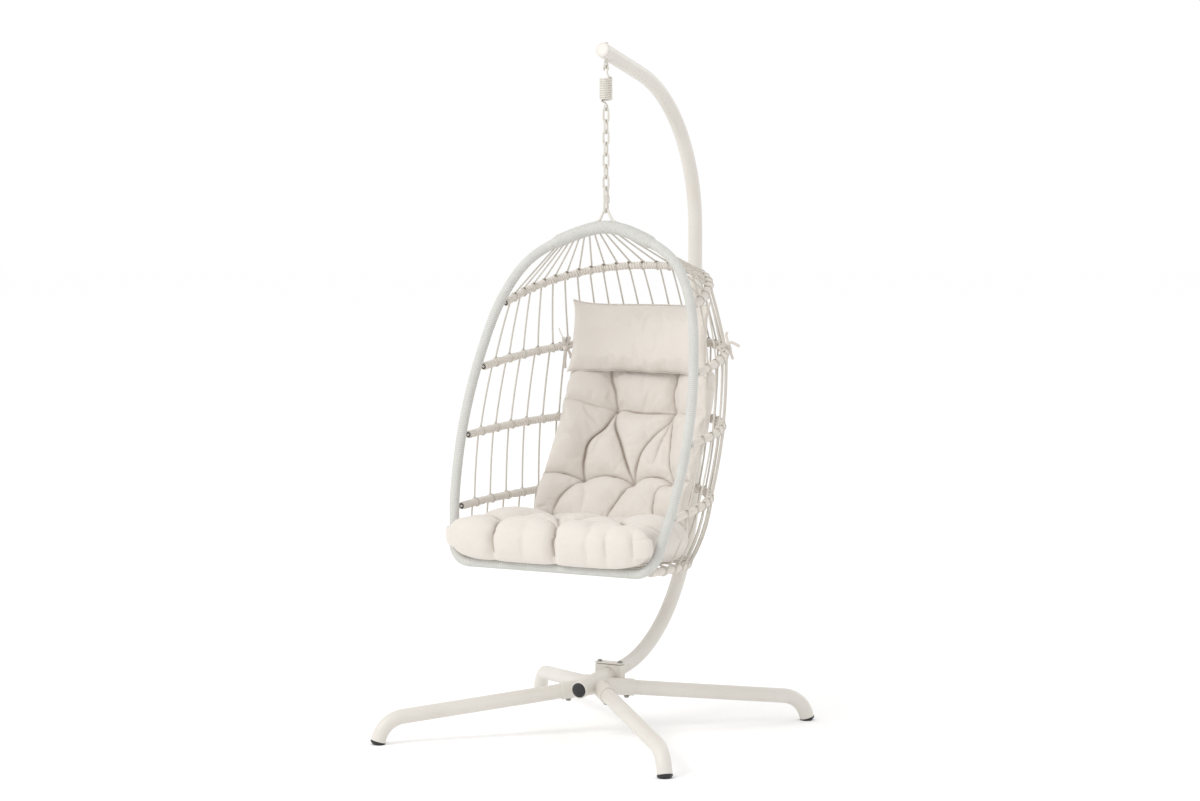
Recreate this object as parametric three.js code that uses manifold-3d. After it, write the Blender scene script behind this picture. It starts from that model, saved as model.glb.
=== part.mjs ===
// Hanging egg chair on a bent steel stand: foldable tube stand, spring and chain, rope-laced basket,
// one seat-and-back cushion and a head pillow. Millimetres, +Z up; the sitter faces -Y.
import * as THREE from 'three';
import Module from 'manifold-3d';

// ---- driving dimensions ------------------------------------------------------------------------
const OVERALL_HEIGHT = 1950;
const HUB_Y = -79.9;                 // the hub stands this far in front of the middle of the footprint
const GAP = 0.4;                     // clearance between pieces that touch
const WALL = 1.5;                    // steel tube wall
const TUBE_SIDES = 10;

const POLE_R = 21;                   // pole and legs
const SLEEVE_R = 24.5;               // hub sleeves around them
const SLEEVE_BORE = 22.2;            // across the corners of the ten-sided bore
const LEG_AXIS_HEIGHT = 134;         // leg axes meet here, above the floor
const LEG_SLOPE = 6;                 // degrees that a leg falls outwards
const LEG_BEND_START = 563;          // radius from the hub where the foot bend starts
const LEG_BEND_RADIUS = 80;
const FOOT_LEAN = 17;                // degrees off vertical at the foot
const BORE_START = 61;
const LEG_INSERT_START = 64;         // a leg starts this far from the hub centre, inside its sleeve
const SLEEVE_END = 108;
const LEG_BOLT_AT = 86;
const LEG_BOLT_BORE = 4.4;
const FOOT_CAP_HEIGHT = 9;

const SOCKET_HEIGHT = 148;           // pole axis above the hub centre
const SOCKET_FRONT = -108;
const SOCKET_BACK = 96;
const SADDLE_Y = 74;                 // plate bolted down beside the pole
const SADDLE_Z = 186;
const SADDLE_THICKNESS = 3.5;
const SADDLE_BOLT_BORE = 3.4;
const SADDLE_BOLTS = [{ name: 'left', x: -33 }, { name: 'right', x: 33 }];
const POLE_START = -40;
const POLE_RISE = 6;                 // degrees, the straight foot of the pole
const POLE_FOOT_END = 150;
const POLE_KINK = 53;                // degrees where the two lower bend radii meet
const LOWER_BEND_R1 = 480;
const LOWER_BEND_R2 = 620;
const POLE_SPLICE_Z = 1010;
const SPLICE_REACH = 90;             // of the inner sleeve, into each half
const UPPER_BEND_START_Z = 1424;
const UPPER_BEND_RADIUS = 460;
const TIP_ANGLE = 76;                // degrees turned from the vertical at the tip
const TIP_STRAIGHT = 236;

const HOOK_Y = 49;                   // plumb line of the suspension, behind the hub
const EYE_Z = 1887;                  // centre of the eye
const EYE_RADIUS = 9;
const EYE_WIRE = 3.2;
const SPRING_TOP = 1853;
const SPRING_BOTTOM = 1786;
const SPRING_RADIUS = 16;
const SPRING_WIRE = 2.6;
const SPRING_TURNS = 9;
const TOP_HOOK_R = 7.2;
const BOTTOM_HOOK_R = 9;
const BOTTOM_HOOK_Z = 1768;
const LINK_COUNT = 7;
const LINK_WIRE = 3;
const LINK_LENGTH = 44;              // over the wire
const LINK_WIDTH = 22;
const CLIP_LENGTH = 78;
const CLIP_WIDTH = 26;
const CLIP_WIRE = 3.6;
const CLIP_GAP = 1;                  // the clip turns in the last link without touching it
const LOOP_WIRE = 4;

const HOOP_TOP_Z = 1432;             // centre line of the hoop at its top
const HOOP_R = 14;
const HOOP_LEAN = 18.7;              // degrees; the foot of the hoop is further forward
const HOOP_LENGTH = 982;             // along the leaning plane, top to front rail
// Right half of the hoop's centre line in its leaning plane: across, and down from the top.
const HOOP_OUTLINE = [
  [0, 0], [110, 27], [231, 98], [301, 214],
  [342, 393], [358, 589], [347, 786], [327, 900],
];
const CORNER_R = 68;                 // lower corners, where the hoop turns into the front rail
const CORNER_WIDTH = 62;
const RAIL_HALF = 250;               // half the length of the front rail between those corners
const RIB_R = 10;
const RIB_POWER = 2.2;               // roundness of a rib seen from above: 2 is an ellipse
const RIB_BEHIND_HOOP = 23;
// Ribs: height at the hoop, depth behind it, rise per unit of depth, and how far above the horizontal the
// strands pull away from them, in degrees.
const RIBS = [
  { z: 1214, depth: 320, rise: 0.33, lift: 46 },
  { z: 1033, depth: 490, rise: 0.14, lift: 14 },
  { z: 842, depth: 530, rise: 0.08, lift: -8 },
  { z: 646, depth: 560, rise: 0.055, lift: -16 },
];
const SEAT_RAIL = { z: 503, halfWidth: 296, depth: 520, rise: -0.05, lift: -40 };
const RIB_STEPS = 13;
const STRANDS = 24;
const STRAND_R = 2.5;
const STRAND_EDGE = 8;               // degrees from a rib's end to the first strand
const STRAND_TOP_HALF = 150;         // strands leave the hoop within this distance of its middle
const LASHING_R = 3.6;

const DECK_THICKNESS = 4;
const SEAT_THICKNESS = 130;
const BACK_THICKNESS = 82;
const SEAT_HALF = 304;               // half widths of the cushion
const BACK_HALF = 240;
const BACK_BOW = 118;                 // its back bends forward this much at the edges
const PILLOW = { width: 470, height: 208, thickness: 76, y: 304, z: 1112, bow: 68 };
const TIE_ANGLES = [['left', 41], ['right', 139]];   // degrees round the second rib

// ---- helpers ------------------------------------------------------------------------------------
const { Manifold, Mesh } = await Module().then((m) => { m.setup(); return m; });
const rad = THREE.MathUtils.degToRad;
const vec = (x, y, z) => new THREE.Vector3(x, y, z);

const PAINT = { color: 0xe1dcd4, roughness: 0.45, metalness: 0.1 };
const STEEL = { color: 0xc9cacb, roughness: 0.3, metalness: 0.9 };
const BLACK = { color: 0x1d1d1f, roughness: 0.5, metalness: 0 };
const ROPE = { color: 0xd8d3ca, roughness: 0.85, metalness: 0 };
const CLOTH = { color: 0xe8e0d6, roughness: 0.95, metalness: 0 };

const stand = new THREE.Group();
const suspension = new THREE.Group();
const basket = new THREE.Group();

function addPiece(group, name, geometry, finish) {
  const mesh = new THREE.Mesh(geometry, new THREE.MeshStandardMaterial(finish));
  mesh.name = name;
  group.add(mesh);
  return mesh;
}

// A path through given points; a swept section is mitred at each of them.
class Polyline extends THREE.Curve {
  constructor(points, closed = false) {
    super();
    this.points = points;
    this.closed = closed;
  }
  getPoint(t) {
    const at = t * (this.points.length - 1);
    const i = Math.min(Math.floor(at + 1e-9), this.points.length - 2);
    return this.points[i].clone().lerp(this.points[i + 1], at - i);
  }
  getPointAt(u) { return this.getPoint(u); }
  getSpacedPoints(n) { return Array.from({ length: n + 1 }, (_, i) => this.getPoint(i / n)); }
  getTangentAt(u) {
    const last = this.points.length - 1;
    const i = Math.round(u * last);
    const before = this.closed && i === 0 ? this.points[last - 1] : this.points[Math.max(i - 1, 0)];
    const after = this.closed && i === last ? this.points[1] : this.points[Math.min(i + 1, last)];
    const here = this.points[i];
    const incoming = here.clone().sub(before).normalize();
    const outgoing = after.clone().sub(here).normalize();
    return incoming.add(outgoing).normalize();
  }
}

function ringShape(outer, inner, sides) {
  const circle = (r) => Array.from({ length: sides }, (_, i) => {
    const a = (i + 0.5) * 2 * Math.PI / sides;
    return new THREE.Vector2(r * Math.cos(a), r * Math.sin(a));
  });
  const shape = new THREE.Shape(circle(outer));
  if (inner > 0) shape.holes.push(new THREE.Path(circle(inner).reverse()));
  return shape;
}

function sweep(points, outer, inner = 0, sides = 8) {
  const steps = points.length - 1;
  return new THREE.ExtrudeGeometry(ringShape(outer, inner, sides),
    { steps, extrudePath: new Polyline(points) });
}

// A ring of wire bent to a closed outline: two half sweeps would leave seams, so its ends are joined.
function closedWire(points, radius, sides = 6) {
  const n = points.length;
  const section = ringShape(radius, 0, sides).getPoints(1).slice(0, sides);
  const positions = [];
  const index = [];
  const normal = new THREE.Vector3().crossVectors(
    points[1].clone().sub(points[0]), points[2].clone().sub(points[1])).normalize();
  points.forEach((p, i) => {
    const along = points[(i + 1) % n].clone().sub(points[(i + n - 1) % n]).normalize();
    const side = new THREE.Vector3().crossVectors(along, normal).normalize();
    section.forEach((q) => {
      const v = p.clone().addScaledVector(side, q.x).addScaledVector(normal, q.y);
      positions.push(v.x, v.y, v.z);
    });
  });
  for (let i = 0; i < n; i += 1) {
    for (let k = 0; k < sides; k += 1) {
      const a = i * sides + k;
      const b = i * sides + (k + 1) % sides;
      const c = ((i + 1) % n) * sides + k;
      const d = ((i + 1) % n) * sides + (k + 1) % sides;
      index.push(a, c, b, b, c, d);
    }
  }
  const geometry = new THREE.BufferGeometry();
  geometry.setAttribute('position', new THREE.Float32BufferAttribute(positions, 3));
  geometry.setIndex(index);
  return outward(geometry);
}

// Turns a closed geometry's faces outwards if its volume comes out negative.
function outward(geometry) {
  const p = geometry.attributes.position;
  const index = geometry.index.array;
  const [a, b, c] = [vec(), vec(), vec()];
  let volume = 0;
  for (let i = 0; i < index.length; i += 3) {
    a.fromBufferAttribute(p, index[i]);
    b.fromBufferAttribute(p, index[i + 1]);
    c.fromBufferAttribute(p, index[i + 2]);
    volume += a.dot(b.cross(c));
  }
  if (volume < 0) {
    for (let i = 0; i < index.length; i += 3) [index[i], index[i + 1]] = [index[i + 1], index[i]];
  }
  return geometry;
}

function toManifold(geometry) {
  const source = geometry.index ? geometry.toNonIndexed() : geometry;
  const p = source.attributes.position.array;
  const keys = new Map();
  const verts = [];
  const tris = [];
  for (let i = 0; i < p.length; i += 3) {
    const key = [p[i], p[i + 1], p[i + 2]].map((v) => Math.round(v * 1000)).join(',');
    if (!keys.has(key)) {
      keys.set(key, verts.length / 3);
      verts.push(p[i], p[i + 1], p[i + 2]);
    }
    tris.push(keys.get(key));
  }
  const kept = [];
  for (let i = 0; i < tris.length; i += 3) {
    const [a, b, c] = tris.slice(i, i + 3);
    if (a !== b && b !== c && a !== c) kept.push(a, b, c);
  }
  return new Manifold(new Mesh({
    numProp: 3, vertProperties: Float32Array.from(verts), triVerts: Uint32Array.from(kept) }));
}

function fromManifold(solid) {
  const mesh = solid.getMesh();
  const geometry = new THREE.BufferGeometry();
  geometry.setAttribute('position', new THREE.BufferAttribute(mesh.vertProperties, 3));
  geometry.setIndex(new THREE.BufferAttribute(mesh.triVerts, 1));
  return geometry;
}

const union = (geometries) => geometries.map(toManifold).reduce((a, b) => a.add(b));
const drill = (geometry, cutters) => fromManifold(
  cutters.map(toManifold).reduce((solid, cutter) => solid.subtract(cutter), toManifold(geometry)));

function revolve(profile, sides = 12) {
  const points = profile.map(([r, z]) => new THREE.Vector2(r, z));
  return new THREE.LatheGeometry(points, sides).rotateX(Math.PI / 2);   // axis becomes +Z
}

// Puts a geometry that was made along +Z at `at`, pointing along `direction`.
function aim(geometry, at, direction) {
  const turn = new THREE.Quaternion().setFromUnitVectors(vec(0, 0, 1), direction.clone().normalize());
  return geometry.applyQuaternion(turn).translate(at.x, at.y, at.z);
}

function rod(from, to, radius, sides = 8) {
  return sweep([from, to], radius, 0, sides);
}

function arc(centre, radius, fromDeg, toDeg, steps, place) {
  return Array.from({ length: steps + 1 }, (_, i) => {
    const a = rad(fromDeg + (toDeg - fromDeg) * i / steps);
    return place(centre[0] + radius * Math.cos(a), centre[1] + radius * Math.sin(a));
  });
}

// ---- stand: hub, legs and caps --------------------------------------------------------------------
const LEGS = [
  { name: 'front_left', angle: 225 },
  { name: 'front_right', angle: 315 },
  { name: 'back_right', angle: 45 },
  { name: 'back_left', angle: 135 },
];
const tanLeg = Math.tan(rad(LEG_SLOPE));
const legZ = (r) => LEG_AXIS_HEIGHT - tanLeg * r;
const around = (angle) => (r, z) => vec(r * Math.cos(rad(angle)), r * Math.sin(rad(angle)), z);
const socketAt = (y) => vec(0, y, SOCKET_HEIGHT + y * Math.tan(rad(POLE_RISE)));

function legPath(place) {
  const bendZ = legZ(LEG_BEND_START);
  const centre = [
    LEG_BEND_START - LEG_BEND_RADIUS * Math.sin(rad(LEG_SLOPE)),
    bendZ - LEG_BEND_RADIUS * Math.cos(rad(LEG_SLOPE))];
  const bend = arc(centre, LEG_BEND_RADIUS, 90 - LEG_SLOPE, FOOT_LEAN, 6, place);
  const end = bend[bend.length - 1];
  const down = place(Math.sin(rad(FOOT_LEAN)), 0).setZ(-Math.cos(rad(FOOT_LEAN)));
  const reach = (end.z - FOOT_CAP_HEIGHT) / Math.cos(rad(FOOT_LEAN));
  const foot = end.clone().addScaledVector(down, reach);
  return { points: [place(LEG_INSERT_START, legZ(LEG_INSERT_START)), ...bend, foot], down };
}

// A straight round rod along a leg's axis, from one radius to another.
function alongLeg(angle, from, to, radius) {
  const place = around(angle);
  return rod(place(from, legZ(from)), place(to, legZ(to)), radius, TUBE_SIDES);
}

function legBoltHole(angle) {
  const at = around(angle)(LEG_BOLT_AT, legZ(LEG_BOLT_AT));
  return rod(at.clone().setZ(at.z - 40), at, LEG_BOLT_BORE);
}

function saddleHoles() {
  const reach = 30;
  return SADDLE_BOLTS.map(({ x }) => rod(
    vec(x, SADDLE_Y, SADDLE_Z - reach), vec(x, SADDLE_Y, SADDLE_Z + reach), SADDLE_BOLT_BORE));
}

function buildStandFoot() {
  const past = 9;                      // bores run this far out of their sleeves
  const sleeves = LEGS.map(({ angle }) => alongLeg(angle, 6, SLEEVE_END, SLEEVE_R));
  const socket = rod(socketAt(SOCKET_FRONT), socketAt(SOCKET_BACK), SLEEVE_R, TUBE_SIDES);
  const bores = LEGS.map(({ angle }) => alongLeg(angle, BORE_START, SLEEVE_END + past, SLEEVE_BORE));
  bores.push(rod(socketAt(SOCKET_FRONT - past), socketAt(SOCKET_BACK + past), SLEEVE_BORE, TUBE_SIDES));
  const boltHoles = LEGS.map(({ angle }) => legBoltHole(angle));
  const body = union([...sleeves, socket, saddleBlock()]);
  const cutters = [...bores, ...boltHoles, ...saddleHoles()].map(toManifold);
  const hub = cutters.reduce((solid, cutter) => solid.subtract(cutter), body);
  addPiece(stand, 'base_hub', fromManifold(hub), PAINT);

  const plugProfile = [
    [0, -14], [POLE_R - 1, -14], [POLE_R - 1, 0],
    [SLEEVE_R - 1.5, 0], [SLEEVE_R - 4, 5], [0, 7],
  ];
  const outFront = socketAt(0).sub(socketAt(1)).normalize();
  const plugAt = socketAt(SOCKET_FRONT).addScaledVector(outFront, GAP);
  addPiece(stand, 'socket_plug', aim(revolve(plugProfile), plugAt, outFront), BLACK);

  LEGS.forEach(({ name, angle }) => {
    const place = around(angle);
    const { points, down } = legPath(place);
    const boltAt = place(LEG_BOLT_AT, legZ(LEG_BOLT_AT));
    const tube = sweep(points, POLE_R, POLE_R - WALL, TUBE_SIDES);
    addPiece(stand, `leg_${name}`, drill(tube, [legBoltHole(angle)]), PAINT);

    const foot = points[points.length - 1].clone().addScaledVector(down, GAP);
    const capProfile = [[0, -12], [POLE_R - WALL - 1, -12], [POLE_R - WALL - 1, 0], [POLE_R + 0.5, 0],
      [POLE_R + 0.5, 3], [POLE_R - 4, 9], [0, 13]];
    const floor = new THREE.BoxGeometry(200, 200, 60).translate(foot.x, foot.y, -30);
    const cap = drill(aim(revolve(capProfile, 10), foot, down), [floor]);
    addPiece(stand, `foot_cap_${name}`, cap, BLACK);

    const seat = boltAt.z - SLEEVE_R / Math.cos(rad(LEG_SLOPE)) - 1.2;
    const boltProfile = [[0, -4.5], [5, -4], [7, 0], [3.6, 0], [3.6, 14], [0, 14]];
    const bolt = revolve(boltProfile, 8).translate(boltAt.x, boltAt.y, seat);
    addPiece(stand, `leg_bolt_${name}`, bolt, STEEL);
  });
}

// Block welded on the hub that the saddle plate is bolted down on, beside the pole.
function saddleBlock() {
  return new THREE.BoxGeometry(84, 26, 40).translate(0, SADDLE_Y, SADDLE_Z - 22);
}

function buildSaddle() {
  const plate = new THREE.BoxGeometry(90, 34, SADDLE_THICKNESS)
    .translate(0, SADDLE_Y, SADDLE_Z + SADDLE_THICKNESS / 2 + GAP);
  addPiece(stand, 'pole_saddle', drill(plate, saddleHoles()), PAINT);
  SADDLE_BOLTS.forEach(({ name, x }) => {
    const top = SADDLE_Z + SADDLE_THICKNESS + 2 * GAP;
    const profile = [[0, -18], [2.9, -18], [2.9, 0], [6.5, 0], [5, 4], [0, 4.6]];
    addPiece(stand, `saddle_bolt_${name}`, revolve(profile, 8).translate(x, SADDLE_Y, top), STEEL);
  });
}

// ---- stand: pole ------------------------------------------------------------------------------------
function polePaths() {
  const place = (y, z) => vec(0, y, z);
  const foot = [socketAt(POLE_START), socketAt(POLE_FOOT_END)];
  const start = foot[1];
  const centreAbove = (p, radius, turned) => [
    p.y - radius * Math.sin(rad(turned)), p.z + radius * Math.cos(rad(turned))];
  const c1 = centreAbove(start, LOWER_BEND_R1, POLE_RISE);
  const bend1 = arc(c1, LOWER_BEND_R1, POLE_RISE - 90, POLE_KINK - 90, 5, place).slice(1);
  const kink = bend1[bend1.length - 1];
  const c2 = centreAbove(kink, LOWER_BEND_R2, POLE_KINK);
  const bend2 = arc(c2, LOWER_BEND_R2, POLE_KINK - 90, 0, 4, place).slice(1);
  const backY = bend2[bend2.length - 1].y;
  const lower = [...foot, ...bend1, ...bend2, place(backY, POLE_SPLICE_Z)];
  const c3 = [backY - UPPER_BEND_RADIUS, UPPER_BEND_START_Z];
  const bend3 = arc(c3, UPPER_BEND_RADIUS, 0, TIP_ANGLE, 8, place);
  const tipWay = place(-Math.sin(rad(TIP_ANGLE)), Math.cos(rad(TIP_ANGLE)));
  const tip = bend3[bend3.length - 1].clone().addScaledVector(tipWay, TIP_STRAIGHT);
  return { lower, upper: [place(backY, POLE_SPLICE_Z + 0.5), ...bend3, tip], tip, tipWay, backY };
}

function buildPole() {
  const { lower, upper, tip, tipWay, backY } = polePaths();
  const eyeHole = rod(vec(0, HOOK_Y, EYE_Z), vec(0, HOOK_Y, OVERALL_HEIGHT + 20), EYE_WIRE + 0.5);
  const tube = (points) => sweep(points, POLE_R, POLE_R - WALL, TUBE_SIDES);
  addPiece(stand, 'pole_lower', tube(lower), PAINT);
  addPiece(stand, 'pole_upper', drill(tube(upper), [eyeHole]), PAINT);
  const inner = POLE_R - WALL - 1.2;
  const sleeve = [-SPLICE_REACH, SPLICE_REACH].map((z) => vec(0, backY, POLE_SPLICE_Z + z));
  addPiece(stand, 'pole_joint_sleeve', sweep(sleeve, inner, inner - 2, TUBE_SIDES), STEEL);
  const capProfile = [[0, -6], [inner, -6], [inner, 0], [POLE_R, 0], [POLE_R - 1, 2.5], [0, 4]];
  const capAt = tip.clone().addScaledVector(tipWay, GAP);
  addPiece(stand, 'pole_tip_cap', aim(revolve(capProfile), capAt, tipWay), BLACK);
}

// ---- suspension ---------------------------------------------------------------------------------------
function buildEye() {
  const shankTop = OVERALL_HEIGHT - 0.2;
  const ring = closedWire(arc([HOOK_Y, EYE_Z], EYE_RADIUS, 0, 330, 11, (y, z) => vec(0, y, z)), EYE_WIRE, 6);
  const shank = rod(vec(0, HOOK_Y, EYE_Z + EYE_RADIUS - 1), vec(0, HOOK_Y, shankTop), EYE_WIRE, 8);
  addPiece(stand, 'hanger_eye', fromManifold(union([ring, shank])), PAINT);
  const bore = (EYE_WIRE + 0.4) / Math.cos(Math.PI / 6);
  const nut = [[bore, 0], [6.5, 0], [6.5, 4], [bore, 4], [bore, 0]];
  addPiece(stand, 'eye_nut', revolve(nut, 6).translate(0, HOOK_Y, OVERALL_HEIGHT - 4), PAINT);
}

function buildSpring() {
  const perTurn = 6;
  const turnSteps = SPRING_TURNS * perTurn;
  const height = SPRING_TOP - SPRING_BOTTOM - 2 * SPRING_WIRE;
  const helix = Array.from({ length: turnSteps + 1 }, (_, i) => {
    const a = i * 2 * Math.PI / perTurn;
    return vec(SPRING_RADIUS * Math.cos(a), HOOK_Y + SPRING_RADIUS * Math.sin(a),
      SPRING_TOP - SPRING_WIRE - height * i / turnSteps);
  });
  const eyeFloor = EYE_Z - EYE_RADIUS + EYE_WIRE;                // the top hook rests on the eye's wire
  const topHook = arc([0, eyeFloor + GAP + SPRING_WIRE - TOP_HOOK_R], TOP_HOOK_R, 215, -60, 6,
    (x, z) => vec(x, HOOK_Y, z));
  const bottomHook = arc([HOOK_Y, BOTTOM_HOOK_Z], BOTTOM_HOOK_R, 60, -210, 6, (y, z) => vec(0, y, z));
  const wire = [...topHook, vec(4, HOOK_Y, SPRING_TOP + 8), ...helix,
    vec(8, HOOK_Y + 3, SPRING_BOTTOM - 3), ...bottomHook];
  addPiece(suspension, 'suspension_spring', sweep(wire, SPRING_WIRE, 0, 4), PAINT);
}

// A chain link or clip: two half circles and two straights, in the plane spanned by +Z and `across`.
function stadium(centreZ, length, width, wire, across) {
  const r = width / 2 - wire;
  const half = length / 2 - wire - r;
  const place = (a, z) => across.clone().multiplyScalar(a).add(vec(0, HOOK_Y, z));
  return [
    ...arc([0, centreZ + half], r, 0, 180, 5, place),
    ...arc([0, centreZ - half], r, 180, 360, 5, place)];
}

function buildChain() {
  const pitch = LINK_LENGTH - 4 * LINK_WIRE - GAP;
  const hookFloor = BOTTOM_HOOK_Z - BOTTOM_HOOK_R + SPRING_WIRE;
  const firstZ = hookFloor + GAP + 2 * LINK_WIRE - LINK_LENGTH / 2;
  for (let i = 0; i < LINK_COUNT; i += 1) {
    const across = i % 2 === 0 ? vec(1, 0, 0) : vec(0, 1, 0);
    const points = stadium(firstZ - i * pitch, LINK_LENGTH, LINK_WIDTH, LINK_WIRE, across);
    addPiece(suspension, `chain_link_${i + 1}`, closedWire(points, LINK_WIRE, 6), PAINT);
  }
  const lastZ = firstZ - (LINK_COUNT - 1) * pitch;
  return lastZ - LINK_LENGTH / 2;
}

function buildClip(chainEnd) {
  const top = chainEnd + LINK_WIRE * 2 + CLIP_WIRE * 2 + CLIP_GAP;
  const centreZ = top - CLIP_LENGTH / 2;
  const points = stadium(centreZ, CLIP_LENGTH, CLIP_WIDTH, CLIP_WIRE, vec(0, 1, 0));
  addPiece(suspension, 'quick_link', closedWire(points, CLIP_WIRE, 6), PAINT);
  const side = CLIP_WIDTH / 2 - CLIP_WIRE;
  const bore = (CLIP_WIRE + 0.5) / Math.cos(Math.PI / 6);
  const nut = [[bore, -9], [6.4, -9], [6.4, 9], [bore, 9], [bore, -9]];
  addPiece(suspension, 'quick_link_nut', revolve(nut, 6).translate(0, HOOK_Y + side, centreZ), PAINT);
  return top - CLIP_LENGTH;
}

// ---- basket frame -----------------------------------------------------------------------------------
const lean = rad(HOOP_LEAN);
// A point of the hoop's plane: x across, s down along the leaning plane from the hoop's top, out behind it.
const hoopPoint = (x, s, out = 0) => vec(x,
  HOOK_Y - s * Math.sin(lean) + out * Math.cos(lean),
  HOOP_TOP_Z - s * Math.cos(lean) - out * Math.sin(lean));

function hoopSide(steps) {
  const mirrored = HOOP_OUTLINE.slice(1, 3).reverse().map(([x, s]) => [-x, s]);
  const sideCurve = new THREE.SplineCurve(
    [...mirrored, ...HOOP_OUTLINE].map(([x, s]) => new THREE.Vector2(x, s)));
  const first = mirrored.length / (HOOP_OUTLINE.length + 1);
  const cornerTop = HOOP_LENGTH - CORNER_R;
  const cornerX = RAIL_HALF + 12;
  const side = Array.from({ length: steps + 1 },
    (_, i) => sideCurve.getPoint(first + (1 - first) * i / steps));
  const flatten = CORNER_R / CORNER_WIDTH;
  const corner = arc([0, 0], CORNER_WIDTH, 12, 90, 4,
    (x, s) => new THREE.Vector2(cornerX + x, cornerTop + s * flatten));
  return [...side, ...corner, new THREE.Vector2(RAIL_HALF, HOOP_LENGTH)];
}

function hoopHalfWidth(z) {
  const s = (HOOP_TOP_Z - z) / Math.cos(lean);
  const side = hoopSide(60);
  const i = side.findIndex((p) => p.y >= s);
  const f = (s - side[i - 1].y) / (side[i].y - side[i - 1].y);
  return side[i - 1].x + f * (side[i].x - side[i - 1].x);
}

function ribPoint({ z, depth, rise, halfWidth, lift }, angleDeg, outwards = 0, inPlane = false) {
  const a = rad(angleDeg);
  const power = 2 / RIB_POWER;
  const w = halfWidth ?? hoopHalfWidth(z) - 5;
  const cos = Math.cos(a);
  const x = -Math.sign(cos) * w * Math.abs(cos) ** power;
  const back = depth * Math.sin(a) ** power;
  const s = (HOOP_TOP_Z - z) / Math.cos(lean);
  const start = HOOK_Y - s * Math.sin(lean) + RIB_BEHIND_HOOP;
  const p = vec(x, start + back, z + rise * back);
  if (outwards !== 0) {
    const nx = Math.sign(x) * (Math.abs(x) / w) ** (RIB_POWER - 1) / w;
    const ny = (back / depth) ** (RIB_POWER - 1) / depth;
    const flat = vec(nx, ny, 0).normalize();
    const up = inPlane ? 0 : rad(lift);
    p.addScaledVector(flat, outwards * Math.cos(up)).add(vec(0, 0, outwards * Math.sin(up)));
  }
  return p;
}

function ribCurve(rib) {
  return Array.from({ length: RIB_STEPS + 1 }, (_, i) => ribPoint(rib, 180 * i / RIB_STEPS));
}

function buildFrame() {
  const right = hoopSide(10);
  const rightPoints = right.map((p) => hoopPoint(p.x, p.y));
  const leftPoints = right.slice(1).map((p) => hoopPoint(-p.x, p.y)).reverse();
  addPiece(basket, 'hoop', sweep([...leftPoints, ...rightPoints], HOOP_R, HOOP_R - WALL, 8), ROPE);
  const railEnd = RAIL_HALF - GAP;
  const railEnds = [hoopPoint(-railEnd, HOOP_LENGTH), hoopPoint(railEnd, HOOP_LENGTH)];
  addPiece(basket, 'front_rail', sweep(railEnds, HOOP_R, HOOP_R - WALL), ROPE);
  addPiece(basket, 'seat_frame', sweep(ribCurve(SEAT_RAIL), RIB_R, RIB_R - WALL, 8), ROPE);
  RIBS.forEach((rib, i) => {
    addPiece(basket, `rib_${i + 1}`, sweep(ribCurve(rib), RIB_R, RIB_R - WALL, 8), ROPE);
    [['left', 0], ['right', 180]].forEach(([side, angle]) => {
      const ribEnd = ribPoint(rib, angle);
      const inside = ribPoint(rib, angle === 0 ? 2 : 178).sub(ribEnd).normalize();
      const profile = [[0, 0], [7, 0], [7, 2.6], [5, 2.6], [5, 20], [0, 20]];
      addPiece(basket, `rib_stud_${i + 1}_${side}`,
        aim(revolve(profile, 6), ribEnd.addScaledVector(inside, -3), inside), STEEL);
    });
  });
}

function buildHangerLoop(clipEnd) {
  const topZ = clipEnd + 2 * CLIP_WIRE + LOOP_WIRE + GAP;       // the clip's wire passes under its arch
  const footZ = HOOP_TOP_Z + HOOP_R + LOOP_WIRE + GAP;
  const arch = arc([0, topZ - 7], 7, 150, 30, 4, (x, z) => vec(x, HOOK_Y, z));
  const foot = (side) => [vec(side * 21, HOOK_Y, footZ), vec(side * 30, HOOK_Y, footZ - 4)];
  const points = [...foot(-1).reverse(), ...arch, ...foot(1)];
  addPiece(basket, 'hanger_loop', sweep(points, LOOP_WIRE, 0, 6), PAINT);
}

// ---- rope lacing and seat deck ------------------------------------------------------------------------
function strandPath(j) {
  const t = j / (STRANDS - 1);
  const angle = STRAND_EDGE + (180 - 2 * STRAND_EDGE) * t;
  const clear = RIB_R + STRAND_R + GAP + 0.6;
  const topX = STRAND_TOP_HALF * (2 * t - 1);
  const topS = hoopArcS(topX);
  return [
    hoopPoint(topX, topS, HOOP_R + LASHING_R + GAP + 1),
    ...RIBS.map((rib) => ribPoint(rib, angle, clear)),
    ribPoint(SEAT_RAIL, angle, clear),
    ribPoint(SEAT_RAIL, angle).add(vec(0, 0, -RIB_R - LASHING_R - 1)),
  ];
}

function hoopArcS(x) {
  const side = hoopSide(60);
  const i = side.findIndex((p) => p.x >= Math.abs(x));
  if (i === 0) return 0;
  const f = (Math.abs(x) - side[i - 1].x) / (side[i].x - side[i - 1].x);
  return side[i - 1].y + f * (side[i].y - side[i - 1].y);
}

function buildLacing() {
  const behind = HOOP_R + LASHING_R + GAP + 1;
  const top = Array.from({ length: 9 }, (_, i) => {
    const x = (STRAND_TOP_HALF + 8) * (i / 4 - 1);
    return hoopPoint(x, hoopArcS(x), behind);
  });
  const bottom = Array.from({ length: 13 }, (_, i) => ribPoint(SEAT_RAIL, 12 + 156 * i / 12)
    .add(vec(0, 0, -RIB_R - LASHING_R - 1)));
  const pieces = [sweep(top, LASHING_R, 0, 5), sweep(bottom, LASHING_R, 0, 5)];
  for (let j = 0; j < STRANDS; j += 1) pieces.push(sweep(strandPath(j), STRAND_R, 0, 4));
  addPiece(basket, 'rope_lacing', fromManifold(union(pieces)), ROPE);
}

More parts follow.
